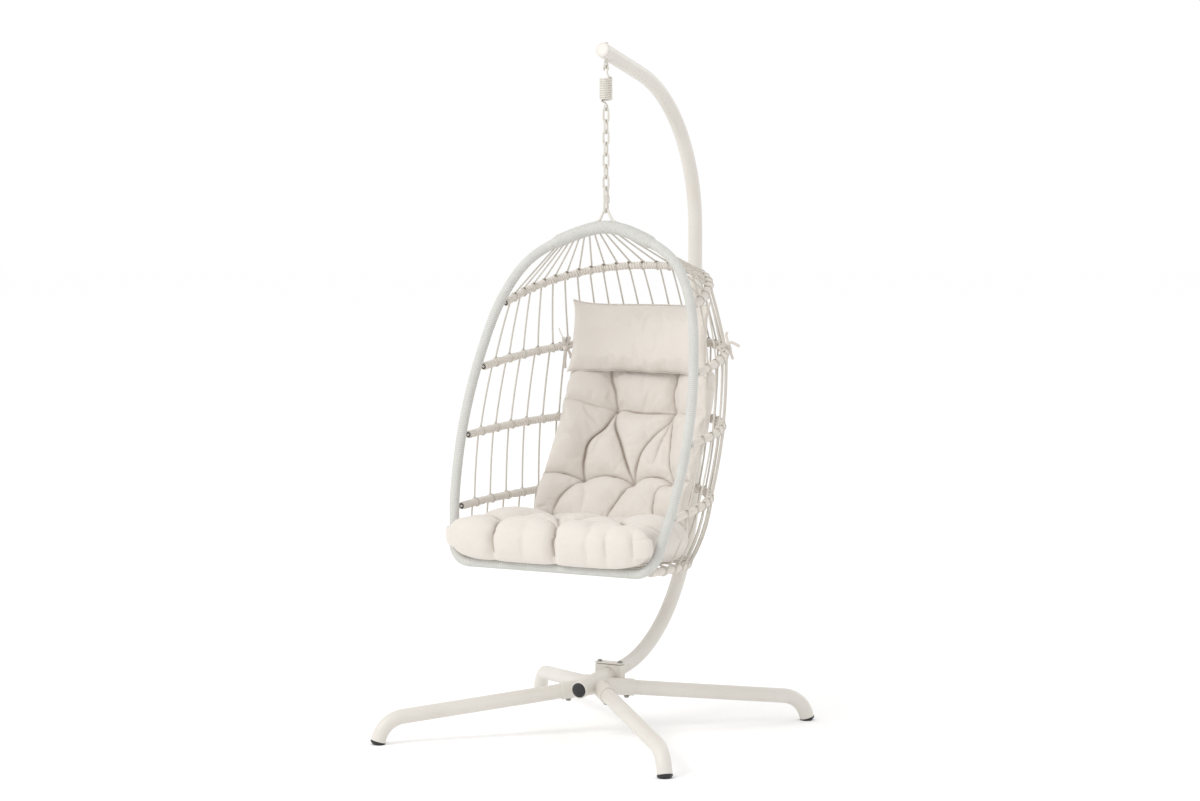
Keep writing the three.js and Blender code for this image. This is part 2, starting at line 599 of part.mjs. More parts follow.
function buildDeck() {
  const inset = RIB_R + 3;
  const outline = Array.from({ length: 17 }, (_, i) => ribPoint(SEAT_RAIL, 180 * i / 16, -inset, true));
  const start = outline[0].y - 20;
  const shape = new THREE.Shape(outline.map((p) => new THREE.Vector2(p.x, p.y)));
  const plate = new THREE.ExtrudeGeometry(shape, { depth: DECK_THICKNESS, bevelEnabled: false });
  const p = plate.attributes.position;
  for (let i = 0; i < p.count; i += 1) {
    p.setZ(i, p.getZ(i) + SEAT_RAIL.z + SEAT_RAIL.rise * (p.getY(i) - start) - DECK_THICKNESS / 2);
  }
  addPiece(basket, 'seat_deck', plate, ROPE);
}

// ---- cushions ---------------------------------------------------------------------------------------------
// The seat-and-back cushion: a thick mat whose middle line runs along the seat and up the back.
function buildCushion() {
  const line = new THREE.CatmullRomCurve3([
    vec(0, -308, 582), vec(0, -140, 582), vec(0, 20, 564), vec(0, 128, 598),
    vec(0, 214, 690), vec(0, 316, 852), vec(0, 366, 968)], false, 'centripetal');
  const nx = 8;
  const ns = 14;
  const box = new THREE.BoxGeometry(2, 2, 2, nx, 2, ns);
  const p = box.attributes.position;
  for (let i = 0; i < p.count; i += 1) {
    const u = p.getX(i);
    const v = p.getY(i);
    const t = (p.getZ(i) + 1) / 2;
    const at = line.getPointAt(t);
    const way = line.getTangentAt(t);
    const up = vec(0, -way.z, way.y);
    const edge = 1 - 0.45 * Math.abs(u) ** 4 - 0.25 * Math.abs(2 * t - 1) ** 8;
    const halfWidth = THREE.MathUtils.lerp(SEAT_HALF, BACK_HALF, THREE.MathUtils.smoothstep(t, 0.12, 0.6));
    const bow = BACK_BOW * THREE.MathUtils.smoothstep(t, 0.32, 0.6) * u * u;
    const corner = 1 - 0.05 * Math.abs(2 * t - 1) ** 6;
    const thinning = THREE.MathUtils.smoothstep(t, 0.3, 0.6);
    const thickness = THREE.MathUtils.lerp(SEAT_THICKNESS, BACK_THICKNESS, thinning);
    const q = at.clone().addScaledVector(up, v * edge * thickness / 2);
    p.setXYZ(i, -u * halfWidth * corner, q.y - bow, q.z);
  }
  addPiece(basket, 'seat_cushion', box, CLOTH);
}

function buildPillow() {
  const box = new THREE.BoxGeometry(2, 2, 2, 8, 2, 6);
  const p = box.attributes.position;
  for (let i = 0; i < p.count; i += 1) {
    const [u, v, w] = [p.getX(i), p.getY(i), p.getZ(i)];
    const crown = Math.sqrt(Math.max((1 - u ** 4) * (1 - w ** 4), 0)) * 0.88 + 0.12;
    const x = u * PILLOW.width / 2 * (1 - 0.04 * (1 - w * w) * u * u);
    const z = w * PILLOW.height / 2 * (1 - 0.05 * (1 - u * u) * w * w);
    const y = v * crown * PILLOW.thickness / 2 - PILLOW.bow * u * u;
    p.setXYZ(i, x, PILLOW.y + y, PILLOW.z + z);
  }
  addPiece(basket, 'head_pillow', box, CLOTH);
  TIE_ANGLES.forEach(([side, angle]) => {
    const at = ribPoint(RIBS[1], angle, -RIB_R - 10.5, true);
    const knot = new THREE.SphereGeometry(1, 8, 6).scale(9, 6, 11).translate(at.x, at.y, at.z);
    addPiece(basket, `pillow_tie_${side}`, knot, CLOTH);
  });
}

buildStandFoot();
buildSaddle();
buildPole();
buildEye();
buildSpring();
const chainEnd = buildChain();
const clipEnd = buildClip(chainEnd);
buildHangerLoop(clipEnd);
buildFrame();
buildLacing();
buildDeck();
buildCushion();
buildPillow();

const chair = new THREE.Group();
chair.add(stand, suspension, basket);
chair.position.set(0, HUB_Y, 0);
export default chair;
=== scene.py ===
"""Looks of a hanging egg chair: painted tube stand, spring and chain, cord-laced basket, tufted cushion.

Shapes are worked out in millimetres from the hub's axis, and to_frame() puts them in the frame, in metres.
The sitter faces -Y. Left in the names is -X: left as seen from in front of the chair.
"""

from math import copysign, cos, pi, radians, sin, sqrt, tan

import bpy
import numpy as np
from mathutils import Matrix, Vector


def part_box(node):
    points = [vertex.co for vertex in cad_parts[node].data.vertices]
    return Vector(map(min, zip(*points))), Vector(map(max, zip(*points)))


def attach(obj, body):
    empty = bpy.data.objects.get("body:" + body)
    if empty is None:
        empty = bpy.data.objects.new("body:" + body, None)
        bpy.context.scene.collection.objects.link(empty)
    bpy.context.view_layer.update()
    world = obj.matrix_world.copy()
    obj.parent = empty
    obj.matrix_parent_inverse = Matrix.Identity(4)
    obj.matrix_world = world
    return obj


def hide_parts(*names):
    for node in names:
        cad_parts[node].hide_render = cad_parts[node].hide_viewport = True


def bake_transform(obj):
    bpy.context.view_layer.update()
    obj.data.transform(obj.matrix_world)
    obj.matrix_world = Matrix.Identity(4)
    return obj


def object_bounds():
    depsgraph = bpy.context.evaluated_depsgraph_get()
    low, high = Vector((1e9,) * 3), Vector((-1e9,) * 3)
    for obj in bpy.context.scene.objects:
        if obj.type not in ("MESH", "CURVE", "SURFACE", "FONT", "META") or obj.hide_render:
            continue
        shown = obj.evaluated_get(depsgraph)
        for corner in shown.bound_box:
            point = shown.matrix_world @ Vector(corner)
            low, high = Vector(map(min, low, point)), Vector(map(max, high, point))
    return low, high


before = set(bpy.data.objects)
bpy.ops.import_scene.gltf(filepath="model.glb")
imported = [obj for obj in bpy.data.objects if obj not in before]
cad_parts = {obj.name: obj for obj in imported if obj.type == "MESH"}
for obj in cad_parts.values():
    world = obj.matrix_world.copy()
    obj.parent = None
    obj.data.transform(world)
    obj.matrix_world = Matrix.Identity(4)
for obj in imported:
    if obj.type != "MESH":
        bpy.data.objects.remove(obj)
cad_low, cad_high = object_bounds()

MM = 0.001

# ---- driving dimensions, in mm from the hub's axis and the floor ----
eye_low, eye_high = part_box("hanger_eye")
HOOK_Y = 49                        # plumb line of the suspension behind the hub
HUB_Y = (eye_low.y + eye_high.y) / 2 / MM - HOOK_Y
OVERALL_HEIGHT = cad_high.z / MM

POLE_R = 21
SLEEVE_R = 24.5
LEG_AXIS_HEIGHT = 134
LEG_SLOPE = 6                      # degrees
LEG_BEND_START = 563
LEG_BEND_RADIUS = 80
FOOT_LEAN = 17                     # degrees off vertical
LEG_INSERT_START = 64
SLEEVE_END = 108
LEG_BOLT_AT = 86
FOOT_CAP_HEIGHT = 9
LEGS = {"front_left": 225, "front_right": 315, "back_right": 45, "back_left": 135}

SOCKET_HEIGHT = 148
SOCKET_FRONT = -108
SOCKET_BACK = 96
POLE_START = -40
POLE_RISE = 6                      # degrees
POLE_FOOT_END = 150
POLE_KINK = 53                     # degrees where the two lower bends meet
LOWER_BENDS = (480, 620)           # their radii
POLE_SPLICE_Z = 1010
UPPER_BEND_START_Z = 1424
UPPER_BEND_RADIUS = 460
TIP_ANGLE = 76                     # degrees
TIP_STRAIGHT = 236
SADDLE_Y = 74
SADDLE_Z = 186
SADDLE_BOLT_X = 33

EYE_Z = 1887
EYE_RADIUS = 9
EYE_WIRE = 3.2
SPRING_TOP = 1853
SPRING_BOTTOM = 1786
SPRING_RADIUS = 16
SPRING_WIRE = 2.6
SPRING_TURNS = 12.5
TOP_HOOK_R = 7.2
BOTTOM_HOOK_R = 9
BOTTOM_HOOK_Z = 1768
LINK_COUNT = 7
LINK_WIRE = 3
LINK_LENGTH = 44
LINK_WIDTH = 22
CLIP_LENGTH = 78
CLIP_WIDTH = 26
CLIP_WIRE = 3.6
CLIP_GAP = 1
LOOP_WIRE = 4
GAP = 0.4

HOOP_TOP_Z = 1432
HOOP_R = 14
HOOP_PITCH = 5.2                   # of the cord wound on it
HOOP_LEAN = radians(18.7)
HOOP_LENGTH = 982
HOOP_OUTLINE = [
    (0, 0), (110, 27), (231, 98), (301, 214), (342, 393), (358, 589), (347, 786), (327, 900)]
CORNER_R = 68
CORNER_WIDTH = 62
RAIL_HALF = 250
RIB_R = 10
RIB_PITCH = 8.6                    # of the cord wound on it
RIB_POWER = 2.2
RIB_BEHIND_HOOP = 23
RIBS = [
    dict(z=1214, depth=320, rise=0.33, lift=46),
    dict(z=1033, depth=490, rise=0.14, lift=14),
    dict(z=842, depth=530, rise=0.08, lift=-8),
    dict(z=646, depth=560, rise=0.055, lift=-16),
]
SEAT_RAIL = dict(z=503, depth=520, rise=-0.05, lift=-40, half_width=296)
STRANDS = 24
STRAND_R = 2.5
STRAND_EDGE = 7                    # degrees from a rib's end to the first strand
STRAND_TOP_HALF = 150

SEAT_THICKNESS = 118
BACK_THICKNESS = 82
SEAT_HALF = 304
BACK_HALF = 240
BACK_BOW = 118
CUSHION_LINE = [
    (-320, 570), (-140, 577), (20, 562), (128, 598), (214, 690), (316, 852), (376, 1004), (384, 1034)]
RESTING_CAP = 0.003                # metres that the underside may swell
WALL_STEP = 6.5                    # the plan runs on down the front wall, by this much a row
FRONT_OVERHANG = 12                # how far the cushion starts ahead of its tufting plan
FRONT_DROOP = 12                   # of its lower edge, ahead of the front rail
FRONT_SPREAD = 36                  # how much wider the cushion's front bulges, ahead of the hoop
PILLOW = dict(width=470, height=208, thickness=76, y=304, z=1112, bow=68, lean=0.24)
TIE_ANGLES = {"left": 41, "right": 139}

# ---- camera, floor and light ----
CAMERA_AZIMUTH = radians(28.868)
CAMERA_ELEVATION = radians(4.135)
CAMERA_DISTANCE = 7.4
CAMERA_TARGET = Vector((0.0061, -0.0766, 0.9446))
CAMERA_LENS = 78.77
FLOOR_RADIUS = 60


def link(name, data):
    made = bpy.data.objects.new(name, data)
    bpy.context.scene.collection.objects.link(made)
    return made


def make_camera():
    back = Vector((
        sin(CAMERA_AZIMUTH) * cos(CAMERA_ELEVATION),
        -cos(CAMERA_AZIMUTH) * cos(CAMERA_ELEVATION),
        sin(CAMERA_ELEVATION)))
    data = bpy.data.cameras.new("camera")
    data.lens = CAMERA_LENS
    data.sensor_width = 36
    data.clip_end = 200
    camera = link("camera", data)
    camera.location = CAMERA_TARGET + back * CAMERA_DISTANCE
    camera.rotation_mode = "QUATERNION"
    camera.rotation_quaternion = (-back).to_track_quat("-Z", "Y")
    bpy.context.scene.camera = camera


def make_area_light(name, at, size, power, colour):
    data = bpy.data.lights.new(name, "AREA")
    data.shape = "DISK"
    data.size = size
    data.energy = power
    data.color = colour
    lamp = link(name, data)
    lamp.location = at
    lamp.rotation_mode = "QUATERNION"
    lamp.rotation_quaternion = (Vector((0, 0, 0.9)) - Vector(at)).to_track_quat("-Z", "Y")


def make_studio():
    world = bpy.data.worlds.new("studio")
    world.use_nodes = True
    background = world.node_tree.nodes["Background"]
    background.inputs["Color"].default_value = (1, 1, 1, 1)
    background.inputs["Strength"].default_value = 1.0
    bpy.context.scene.world = world
    bpy.context.scene.view_settings.view_transform = "Standard"
    make_area_light("key_light", (-4.0, -7.0, 6.8), 4.5, 335, (1, 0.99, 0.98))
    make_area_light("back_light", (1.5, 4.5, 3.8), 3.0, 25, (1, 1, 1))

    floor = bpy.data.meshes.new("floor")
    ring = [
        (FLOOR_RADIUS * cos(a), FLOOR_RADIUS * sin(a), 0)
        for a in np.linspace(0, 2 * pi, 64, endpoint=False)]
    floor.from_pydata(ring, [], [list(range(64))])
    shader = Shader("floor_white")
    shader.set(Base_Color=(0.995, 0.995, 0.995, 1), Roughness=0.9, Specular_IOR_Level=0.0)
    floor.materials.append(shader.material)
    link("floor", floor)


# ---- materials ----
class Shader:
    """A node material, made by adding nodes and feeding numbers or sockets to their inputs."""

    def __init__(self, name):
        self.material = bpy.data.materials.new(name)
        self.material.use_nodes = True
        self.tree = self.material.node_tree
        self.surface = self.tree.nodes["Principled BSDF"]

    def feed(self, node, inputs):
        for name, value in inputs.items():
            socket = node.inputs[int(name[1:])] if name[0] == "_" else node.inputs[name.replace("_", " ")]
            if isinstance(value, bpy.types.NodeSocket):
                self.tree.links.new(value, socket)
            else:
                socket.default_value = value

    def set(self, **inputs):
        self.feed(self.surface, inputs)

    def add(self, kind, settings=None, **inputs):
        node = self.tree.nodes.new("ShaderNode" + kind)
        for key, value in (settings or {}).items():
            setattr(node, key, value)
        self.feed(node, inputs)
        return node

    def maths(self, operation, a, b=0.0):
        return self.add("Math", dict(operation=operation), _0=a, _1=b).outputs[0]

    def noise(self, scale, detail):
        where = self.add("TexCoord").outputs["Object"]
        return self.add("TexNoise", Vector=where, Scale=scale, Detail=detail).outputs["Fac"]

    def between(self, factor, low, high):
        """A number that runs from low to high as factor goes from 0.3 to 0.7."""
        return self.add("MapRange", _0=factor, _1=0.3, _2=0.7, _3=low, _4=high).outputs[0]

    def drift(self, scale, detail, low, high):
        """A number that wanders between low and high over the piece."""
        return self.between(self.noise(scale, detail), low, high)

    def mix(self, factor, a, b):
        return self.add("Mix", dict(data_type="RGBA"), _0=factor, _6=a, _7=b).outputs[2]

    def bump(self, height, distance, strength=1.0, **more):
        node = self.add("Bump", Height=height, Distance=distance, Strength=strength, **more)
        return node.outputs["Normal"]

    def painted_shade(self):
        """Painted shade: 1 at the bottom of a groove, where the colour is darkened to stand in for the shade
        there; read from the mesh.
        """
        return self.add("Attribute", dict(attribute_name="painted_shade")).outputs["Fac"]

    def uv(self):
        """U and V, in metres along the piece's own surface."""
        parts = self.add("SeparateXYZ", Vector=self.add("UVMap").outputs[0])
        return parts.outputs[0], parts.outputs[1]

    def wave(self, value, pitch):
        """A sine of the value with that pitch, from 0 to 1."""
        sine = self.maths("SINE", self.maths("MULTIPLY", value, 2 * pi / pitch))
        return self.add("Math", dict(operation="MULTIPLY_ADD"), _0=sine, _1=0.5, _2=0.5).outputs[0]


def srgb(*display):
    """A display colour of 11 to 255 as the linear colour that nodes take."""
    return (*(((c / 255 + 0.055) / 1.055) ** 2.4 for c in display), 1)


def tinted(name, tint, low, high, roughness, relief, **more):
    """A paint, metal or plastic whose colour and roughness drift, over a fine relief.

    tint is a noise's scale and detail; roughness has its lowest and highest value too, and relief the
    distance and strength of its bump.
    """
    shader = Shader(name)
    shader.set(
        Base_Color=shader.mix(shader.drift(*tint, 0, 1), srgb(*low), srgb(*high)),
        Roughness=shader.drift(*roughness),
        Normal=shader.bump(shader.noise(*relief[:2]), *relief[2:]), **more)
    return shader.material


def wound_cord(name, crown, painted_shade, pitch):
    """Cord wound on a tube: between the turns, where the mesh's shade attribute is 1, the colour is darkened to
    a painted shade colour; V runs along the tube.
    """
    shader = Shader(name)
    tint = shader.mix(shader.drift(35, 3, 0, 1), crown, (*(c * 0.93 for c in crown[:3]), 1))
    shader.set(
        Base_Color=shader.mix(shader.painted_shade(), tint, painted_shade),
        Roughness=0.72,
        Sheen_Weight=0.15)
    rough = shader.maths("MULTIPLY", shader.wave(shader.uv()[1], pitch / 5), shader.noise(1500, 3))
    shader.set(Normal=shader.bump(rough, 0.0006, 0.5))
    return shader.material


def twisted_cord():
    shader = Shader("twisted_cord")
    u, v = shader.uv()
    lay = shader.add("Math", dict(operation="MULTIPLY_ADD"), _0=v, _1=1 / 0.011, _2=u)
    strands = shader.wave(lay.outputs[0], 1 / 3)
    light = shader.mix(shader.drift(25, 3, 0, 1), srgb(218, 213, 205), srgb(210, 204, 195))
    # Painted shade: the grooves between the twisted strands get a darker colour, standing in for the shade
    # there.
    painted_groove_shade = shader.mix(strands, srgb(186, 180, 169), light)
    shader.set(
        # Painted shade: the knots darken towards brown, standing in for the shade round them.
        Base_Color=shader.mix(shader.painted_shade(), painted_groove_shade, srgb(96, 86, 72)),
        Roughness=0.66,
        Sheen_Weight=0.1,
        Normal=shader.bump(strands, 0.0006, 0.8))
    return shader.material


def cushion_cloth():
    """Woven polyester: a fine over-and-under weave in U and V, slubs, soft creasing, and painted shade
    darkening the crease slits.
    """
    shader = Shader("cushion_cloth")
    u, v = shader.uv()
    weave = shader.maths("MULTIPLY", shader.wave(u, 0.0011), shader.wave(v, 0.0011))
    slub = shader.noise(420, 4)
    colour = shader.mix(shader.drift(9, 4, 0, 1), srgb(219, 213, 206), srgb(215, 208, 200))
    colour = shader.mix(shader.between(slub, 0, 0.35), colour, srgb(204, 197, 188))
    # Painted shade: the crease slits darken to brown, standing in for the shade in the creases.
    colour = shader.mix(shader.painted_shade(), colour, srgb(122, 102, 82))
    creases = shader.bump(shader.noise(30, 4), 0.004, 0.4)
    threads = shader.bump(shader.maths("ADD", weave, slub), 0.0004, 0.35, Normal=creases)
    shader.set(
        Base_Color=colour,
        Roughness=0.9,
        Sheen_Weight=0.35,
        Sheen_Roughness=0.5,
        Specular_IOR_Level=0.25,
        Normal=threads)
    return shader.material


# ---- mesh helpers ----
def to_frame(points):
    out = np.array(points, float) * MM
    out[..., 1] += HUB_Y * MM
    return out


def unit(v):
    v = np.asarray(v, float)
    return v / np.linalg.norm(v, axis=-1, keepdims=True)


def smoothstep(x, low, high):
    t = np.clip((np.asarray(x, float) - low) / (high - low), 0, 1)
    return t * t * (3 - 2 * t)


def resample(points, step):
    """The same path with its points evenly spaced, about `step` apart."""
    p = np.asarray(points, float)
    length = np.concatenate([[0], np.cumsum(np.linalg.norm(np.diff(p, axis=0), axis=1))])
    at = np.linspace(0, length[-1], max(int(round(length[-1] / step)), 2) + 1)
    return np.stack([np.interp(at, length, p[:, k]) for k in range(p.shape[1])], 1)


def spline(points, per_span=12):
    """A centripetal Catmull-Rom curve through the points."""
    p = np.asarray(points, float)
    p = np.vstack([2 * p[0] - p[1], p, 2 * p[-1] - p[-2]])
    knots = np.concatenate([[0], np.cumsum(np.sqrt(np.linalg.norm(np.diff(p, axis=0), axis=1)))])
    out = []
    for i in range(1, len(p) - 2):
        t0, t1, t2, t3 = knots[i - 1:i + 3]
        t = np.linspace(t1, t2, per_span, endpoint=False)[:, None]
        a1 = ((t1 - t) * p[i - 1] + (t - t0) * p[i]) / (t1 - t0)
        a2 = ((t2 - t) * p[i] + (t - t1) * p[i + 1]) / (t2 - t1)
        a3 = ((t3 - t) * p[i + 1] + (t - t2) * p[i + 2]) / (t3 - t2)
        b1 = ((t2 - t) * a1 + (t - t0) * a2) / (t2 - t0)
        b2 = ((t3 - t) * a2 + (t - t1) * a3) / (t3 - t1)
        out.append(((t2 - t) * b1 + (t - t1) * b2) / (t2 - t1))
    return np.vstack(out + [p[-2:-1]])


def arc(centre, radius, start, end, steps, place):
    """Points of an arc, from `start` to `end` degrees, that place(a, b) puts in space."""
    angles = np.radians(np.linspace(start, end, steps + 1))
    return [place(centre[0] + radius * cos(a), centre[1] + radius * sin(a)) for a in angles]


def path_frames(path, closed=False):
    """Along, side and up directions at each point, without twist."""
    p = np.asarray(path, float)
    along = np.roll(p, -1, 0) - np.roll(p, 1, 0) if closed else np.gradient(p, axis=0)
    along = unit(along)
    seed = np.eye(3)[np.argmin(np.abs(along[0]))]
    side = np.empty_like(p)
    side[0] = unit(seed - along[0] * (seed @ along[0]))
    for i in range(1, len(p)):
        carried = side[i - 1] - along[i] * (side[i - 1] @ along[i])
        side[i] = carried / sqrt(carried @ carried)
    return along, side, np.cross(along, side)


class Shape:
    """Vertices, faces, UVs and painted crevice shade of one object, gathered piece by piece."""

    def __init__(self):
        self.points = []
        self.painted_shade = []
        self.faces = []
        self.uvs = []
        self.count = 0

    def add(self, points, faces, uvs, painted_shade=None):
        points = np.asarray(points, float).reshape(-1, 3)
        self.points.append(points)
        self.painted_shade.append(np.zeros(len(points)) if painted_shade is None else np.ravel(painted_shade))
        self.faces += [[i + self.count for i in face] for face in faces]
        self.uvs += uvs
        self.count += len(points)

    def sweep(self, rings, along, closed=False, painted_shade=None):
        """Skins rings of equal size. `along` is the V of each ring, in mm; U runs once round a ring."""
        n, sides = rings.shape[:2]
        faces = []
        uvs = []
        for i in range(n if closed else n - 1):
            j = (i + 1) % n
            low, high = along[i] * MM, (along[j] if j else along[-1] + along[1]) * MM
            for k in range(sides):
                m = (k + 1) % sides
                faces.append([i * sides + k, i * sides + m, j * sides + m, j * sides + k])
                a, b = k / sides, (k + 1) / sides
                uvs += [(a, low), (b, low), (b, high), (a, high)]
        if not closed:
            for face in (list(range(sides))[::-1], [(n - 1) * sides + k for k in range(sides)]):
                faces.append(face)
                uvs += [(0.5, 0)] * sides
        self.add(rings, faces, uvs, painted_shade)
        return self

    def tube(self, path, radius, sides=12, closed=False, round_ends=False, radii=None, painted_shade=None):
        p = np.asarray(path, float)
        along, side, up = path_frames(p, closed)
        length = np.concatenate([[0], np.cumsum(np.linalg.norm(np.diff(p, axis=0), axis=1))])
        r = np.full((len(p), sides), float(radius)) if radii is None else radii
        if round_ends:
            a = np.radians([[75], [50], [25]])
            dome = np.sin(a)
            p = np.vstack([p[0] - along[0] * r[0].mean() * dome, p,
                           p[-1] + along[-1] * r[-1].mean() * dome[::-1]])
            r = np.vstack([r[0] * np.cos(a), r, r[-1] * np.cos(a[::-1])])
            along, side, up = (np.pad(v, [(3, 3), (0, 0)], mode="edge") for v in (along, side, up))
            length = np.pad(length, 3, mode="edge")
        turn = np.linspace(0, 2 * pi, sides, endpoint=False)
        around = np.cos(turn)[None, :, None] * side[:, None] + np.sin(turn)[None, :, None] * up[:, None]
        return self.sweep(p[:, None] + around * r[..., None], length, closed, painted_shade)

    def wound_tube(self, path, radius, pitch, relief, sides=16, per_turn=6, lumps=0.0, phase=0.0, taper=0.0):
        """A tube closely wound with cord: a helical ridge of that pitch and relief, with uneven lumps.

        Its ends are thinner by taper, so that a short winding runs out onto the one under it.
        """
        p = resample(path, pitch / per_turn)
        s = np.linspace(0, 1, len(p)) * np.linalg.norm(np.diff(p, axis=0), axis=1).sum()
        turn = np.arange(sides) / sides
        drift = 0.35 * np.sin(s / 47 + phase) + 0.2 * np.sin(s / 13.7 + 2 * phase)
        ridge = (s / pitch + drift)[:, None] - turn[None, :]
        ridge = 2 * (ridge % 1) - 1
        crown = np.sqrt(1 - 0.98 * ridge ** 2)
        swell = lumps * (np.sin(s / 6.1 + phase) + np.sin(s / 9.7 + 3 * phase) + np.sin(s / 3.9))[:, None] / 3
        swell = swell * (0.5 + 0.5 * np.sin(2 * pi * turn * 2 + s[:, None] / 21))
        from_end = np.minimum(s, s[-1] - s)[:, None]
        radii = radius - relief * (1 - crown) + swell - taper * (1 - smoothstep(from_end, 0, 16))
        # Painted shade between the turns: 1 in the gaps, where the colour is darkened to stand in for the shade
        # there.
        return self.tube(p, radius, sides, radii=radii, painted_shade=np.clip((1 - crown) * 1.5 - 0.35, 0, 1))

    def lathe(self, profile, at, way, sides=32):
        """Turns (radius, height) points about an axis through `at` towards `way`."""
        way = unit(way)
        seed = np.eye(3)[np.argmin(np.abs(way))]
        side = unit(np.cross(seed, way))
        up = np.cross(way, side)
        turn = np.linspace(0, 2 * pi, sides, endpoint=False)
        around = np.cos(turn)[:, None] * side + np.sin(turn)[:, None] * up
        rings = np.array([np.asarray(at) + around * max(r, 0.02) + way * h for r, h in profile])
        return self.sweep(rings, [h for _, h in profile])

    def make(self, name, material, body, slot, nodes=(), sharp=40):
        piece = add_mesh(name, np.vstack(self.points), self.faces, self.uvs, material)
        set_painted_shade(piece.data, np.concatenate(self.painted_shade))
        piece.data.set_sharp_from_angle(angle=radians(sharp))
        finish_piece(piece, body, nodes)
        return piece


def add_mesh(name, points, faces, uvs, material):
    mesh = bpy.data.meshes.new(name)
    mesh.from_pydata(to_frame(points).tolist(), [], faces)
    mesh.uv_layers.new(name="UVMap").data.foreach_set("uv", np.array(uvs, np.float32).ravel())
    mesh.materials.append(material)
    mesh.shade_smooth()
    return link(name, mesh)


# Writes the painted shade: how far each point's colour is darkened to stand in for shade.
def set_painted_shade(mesh, values):
    mesh.attributes.new("painted_shade", "FLOAT", "POINT").data.foreach_set("value", values.astype(np.float32))


def finish_piece(piece, body, nodes=()):
    if body:
        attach(piece, body)
    if nodes:
        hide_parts(*nodes)


def apply_modifiers(piece):
    """Freezes the evaluated shape as the piece's own mesh."""
    graph = bpy.context.evaluated_depsgraph_get()
    mesh = bpy.data.meshes.new_from_object(piece.evaluated_get(graph))
    piece.modifiers.clear()
    piece.data = mesh


# ---- stand ----
def leg_z(r):
    return LEG_AXIS_HEIGHT - tan(radians(LEG_SLOPE)) * r


def around_hub(angle):
    c, s = cos(radians(angle)), sin(radians(angle))
    return lambda r, z: (r * c, r * s, z)


def socket_at(y):
    return np.array([0, y, SOCKET_HEIGHT + y * tan(radians(POLE_RISE))])


def leg_path(angle):
    place = around_hub(angle)
    slope, lean = radians(LEG_SLOPE), radians(FOOT_LEAN)
    centre = (LEG_BEND_START - LEG_BEND_RADIUS * sin(slope),
              leg_z(LEG_BEND_START) - LEG_BEND_RADIUS * cos(slope))
    bend = arc(centre, LEG_BEND_RADIUS, 90 - LEG_SLOPE, FOOT_LEAN, 24, place)
    down = np.array(place(sin(lean), -cos(lean)))
    reach = (bend[-1][2] - FOOT_CAP_HEIGHT) / cos(lean)
    foot = np.array(bend[-1]) + down * reach
    straight = [place(r, leg_z(r)) for r in np.linspace(LEG_INSERT_START, LEG_BEND_START, 24)[:-1]]
    return np.array([*straight, *bend, foot]), down


def make_legs(coat, steel, plastic):
    for name, angle in LEGS.items():
        path, down = leg_path(angle)
        Shape().tube(path, POLE_R, 40).make(
            f"leg_tube_{name}", coat, "stand", "powder_coat", [f"leg_{name}"])

        foot = path[-1] + down * GAP
        rim = POLE_R + 0.6
        profile = [
            (POLE_R - 2.5, -12), (POLE_R - 2.5, 0), (rim - 1, 0), (rim, 0.8), (rim, 3.2), (rim - 1.2, 5),
            (rim - 3, 7.2), (rim - 6, 9.6), (rim - 10, 11.6), (6, 13), (1, 13.4)]
        cap = Shape().lathe(profile, foot, down, 40)
        for points in cap.points:
            points[:, 2] = np.maximum(points[:, 2], 0)
        cap.make(f"foot_plug_{name}", plastic, "stand", "end_cap", [f"foot_cap_{name}"])

        place = around_hub(angle)
        x, y, z = place(LEG_BOLT_AT, leg_z(LEG_BOLT_AT))
        seat = z - SLEEVE_R / cos(radians(LEG_SLOPE)) - 1.0
        hex_bolt(6.6, 4.4, (x, y, seat), (0, 0, -1)).make(
            f"leg_screw_{name}", steel, "stand", "hardware", [f"leg_bolt_{name}"])


def hex_bolt(half_width, height, at, way, washer=True):
    """A hexagonal head with a chamfered top, on a washer, pointing along `way` from its seat."""
    bolt = Shape()
    at = np.asarray(at, float)
    if washer:
        w = half_width * 1.35
        bolt.lathe([(1, 0), (w - 0.3, 0), (w, 0.3), (w, 1.0), (w - 0.3, 1.3), (1, 1.3)], at, way, 32)
    lift = at + unit(way) * 1.0
    bolt.lathe([(1, 0), (half_width, 0.3), (half_width, height - 0.9), (half_width * 0.86, height),
                (1, height)], lift, way, 6)
    bolt.lathe([(half_width * 0.55, height - 0.5), (half_width * 0.5, height + 0.5),
                (1, height + 0.6)], lift, way, 24)
    return bolt


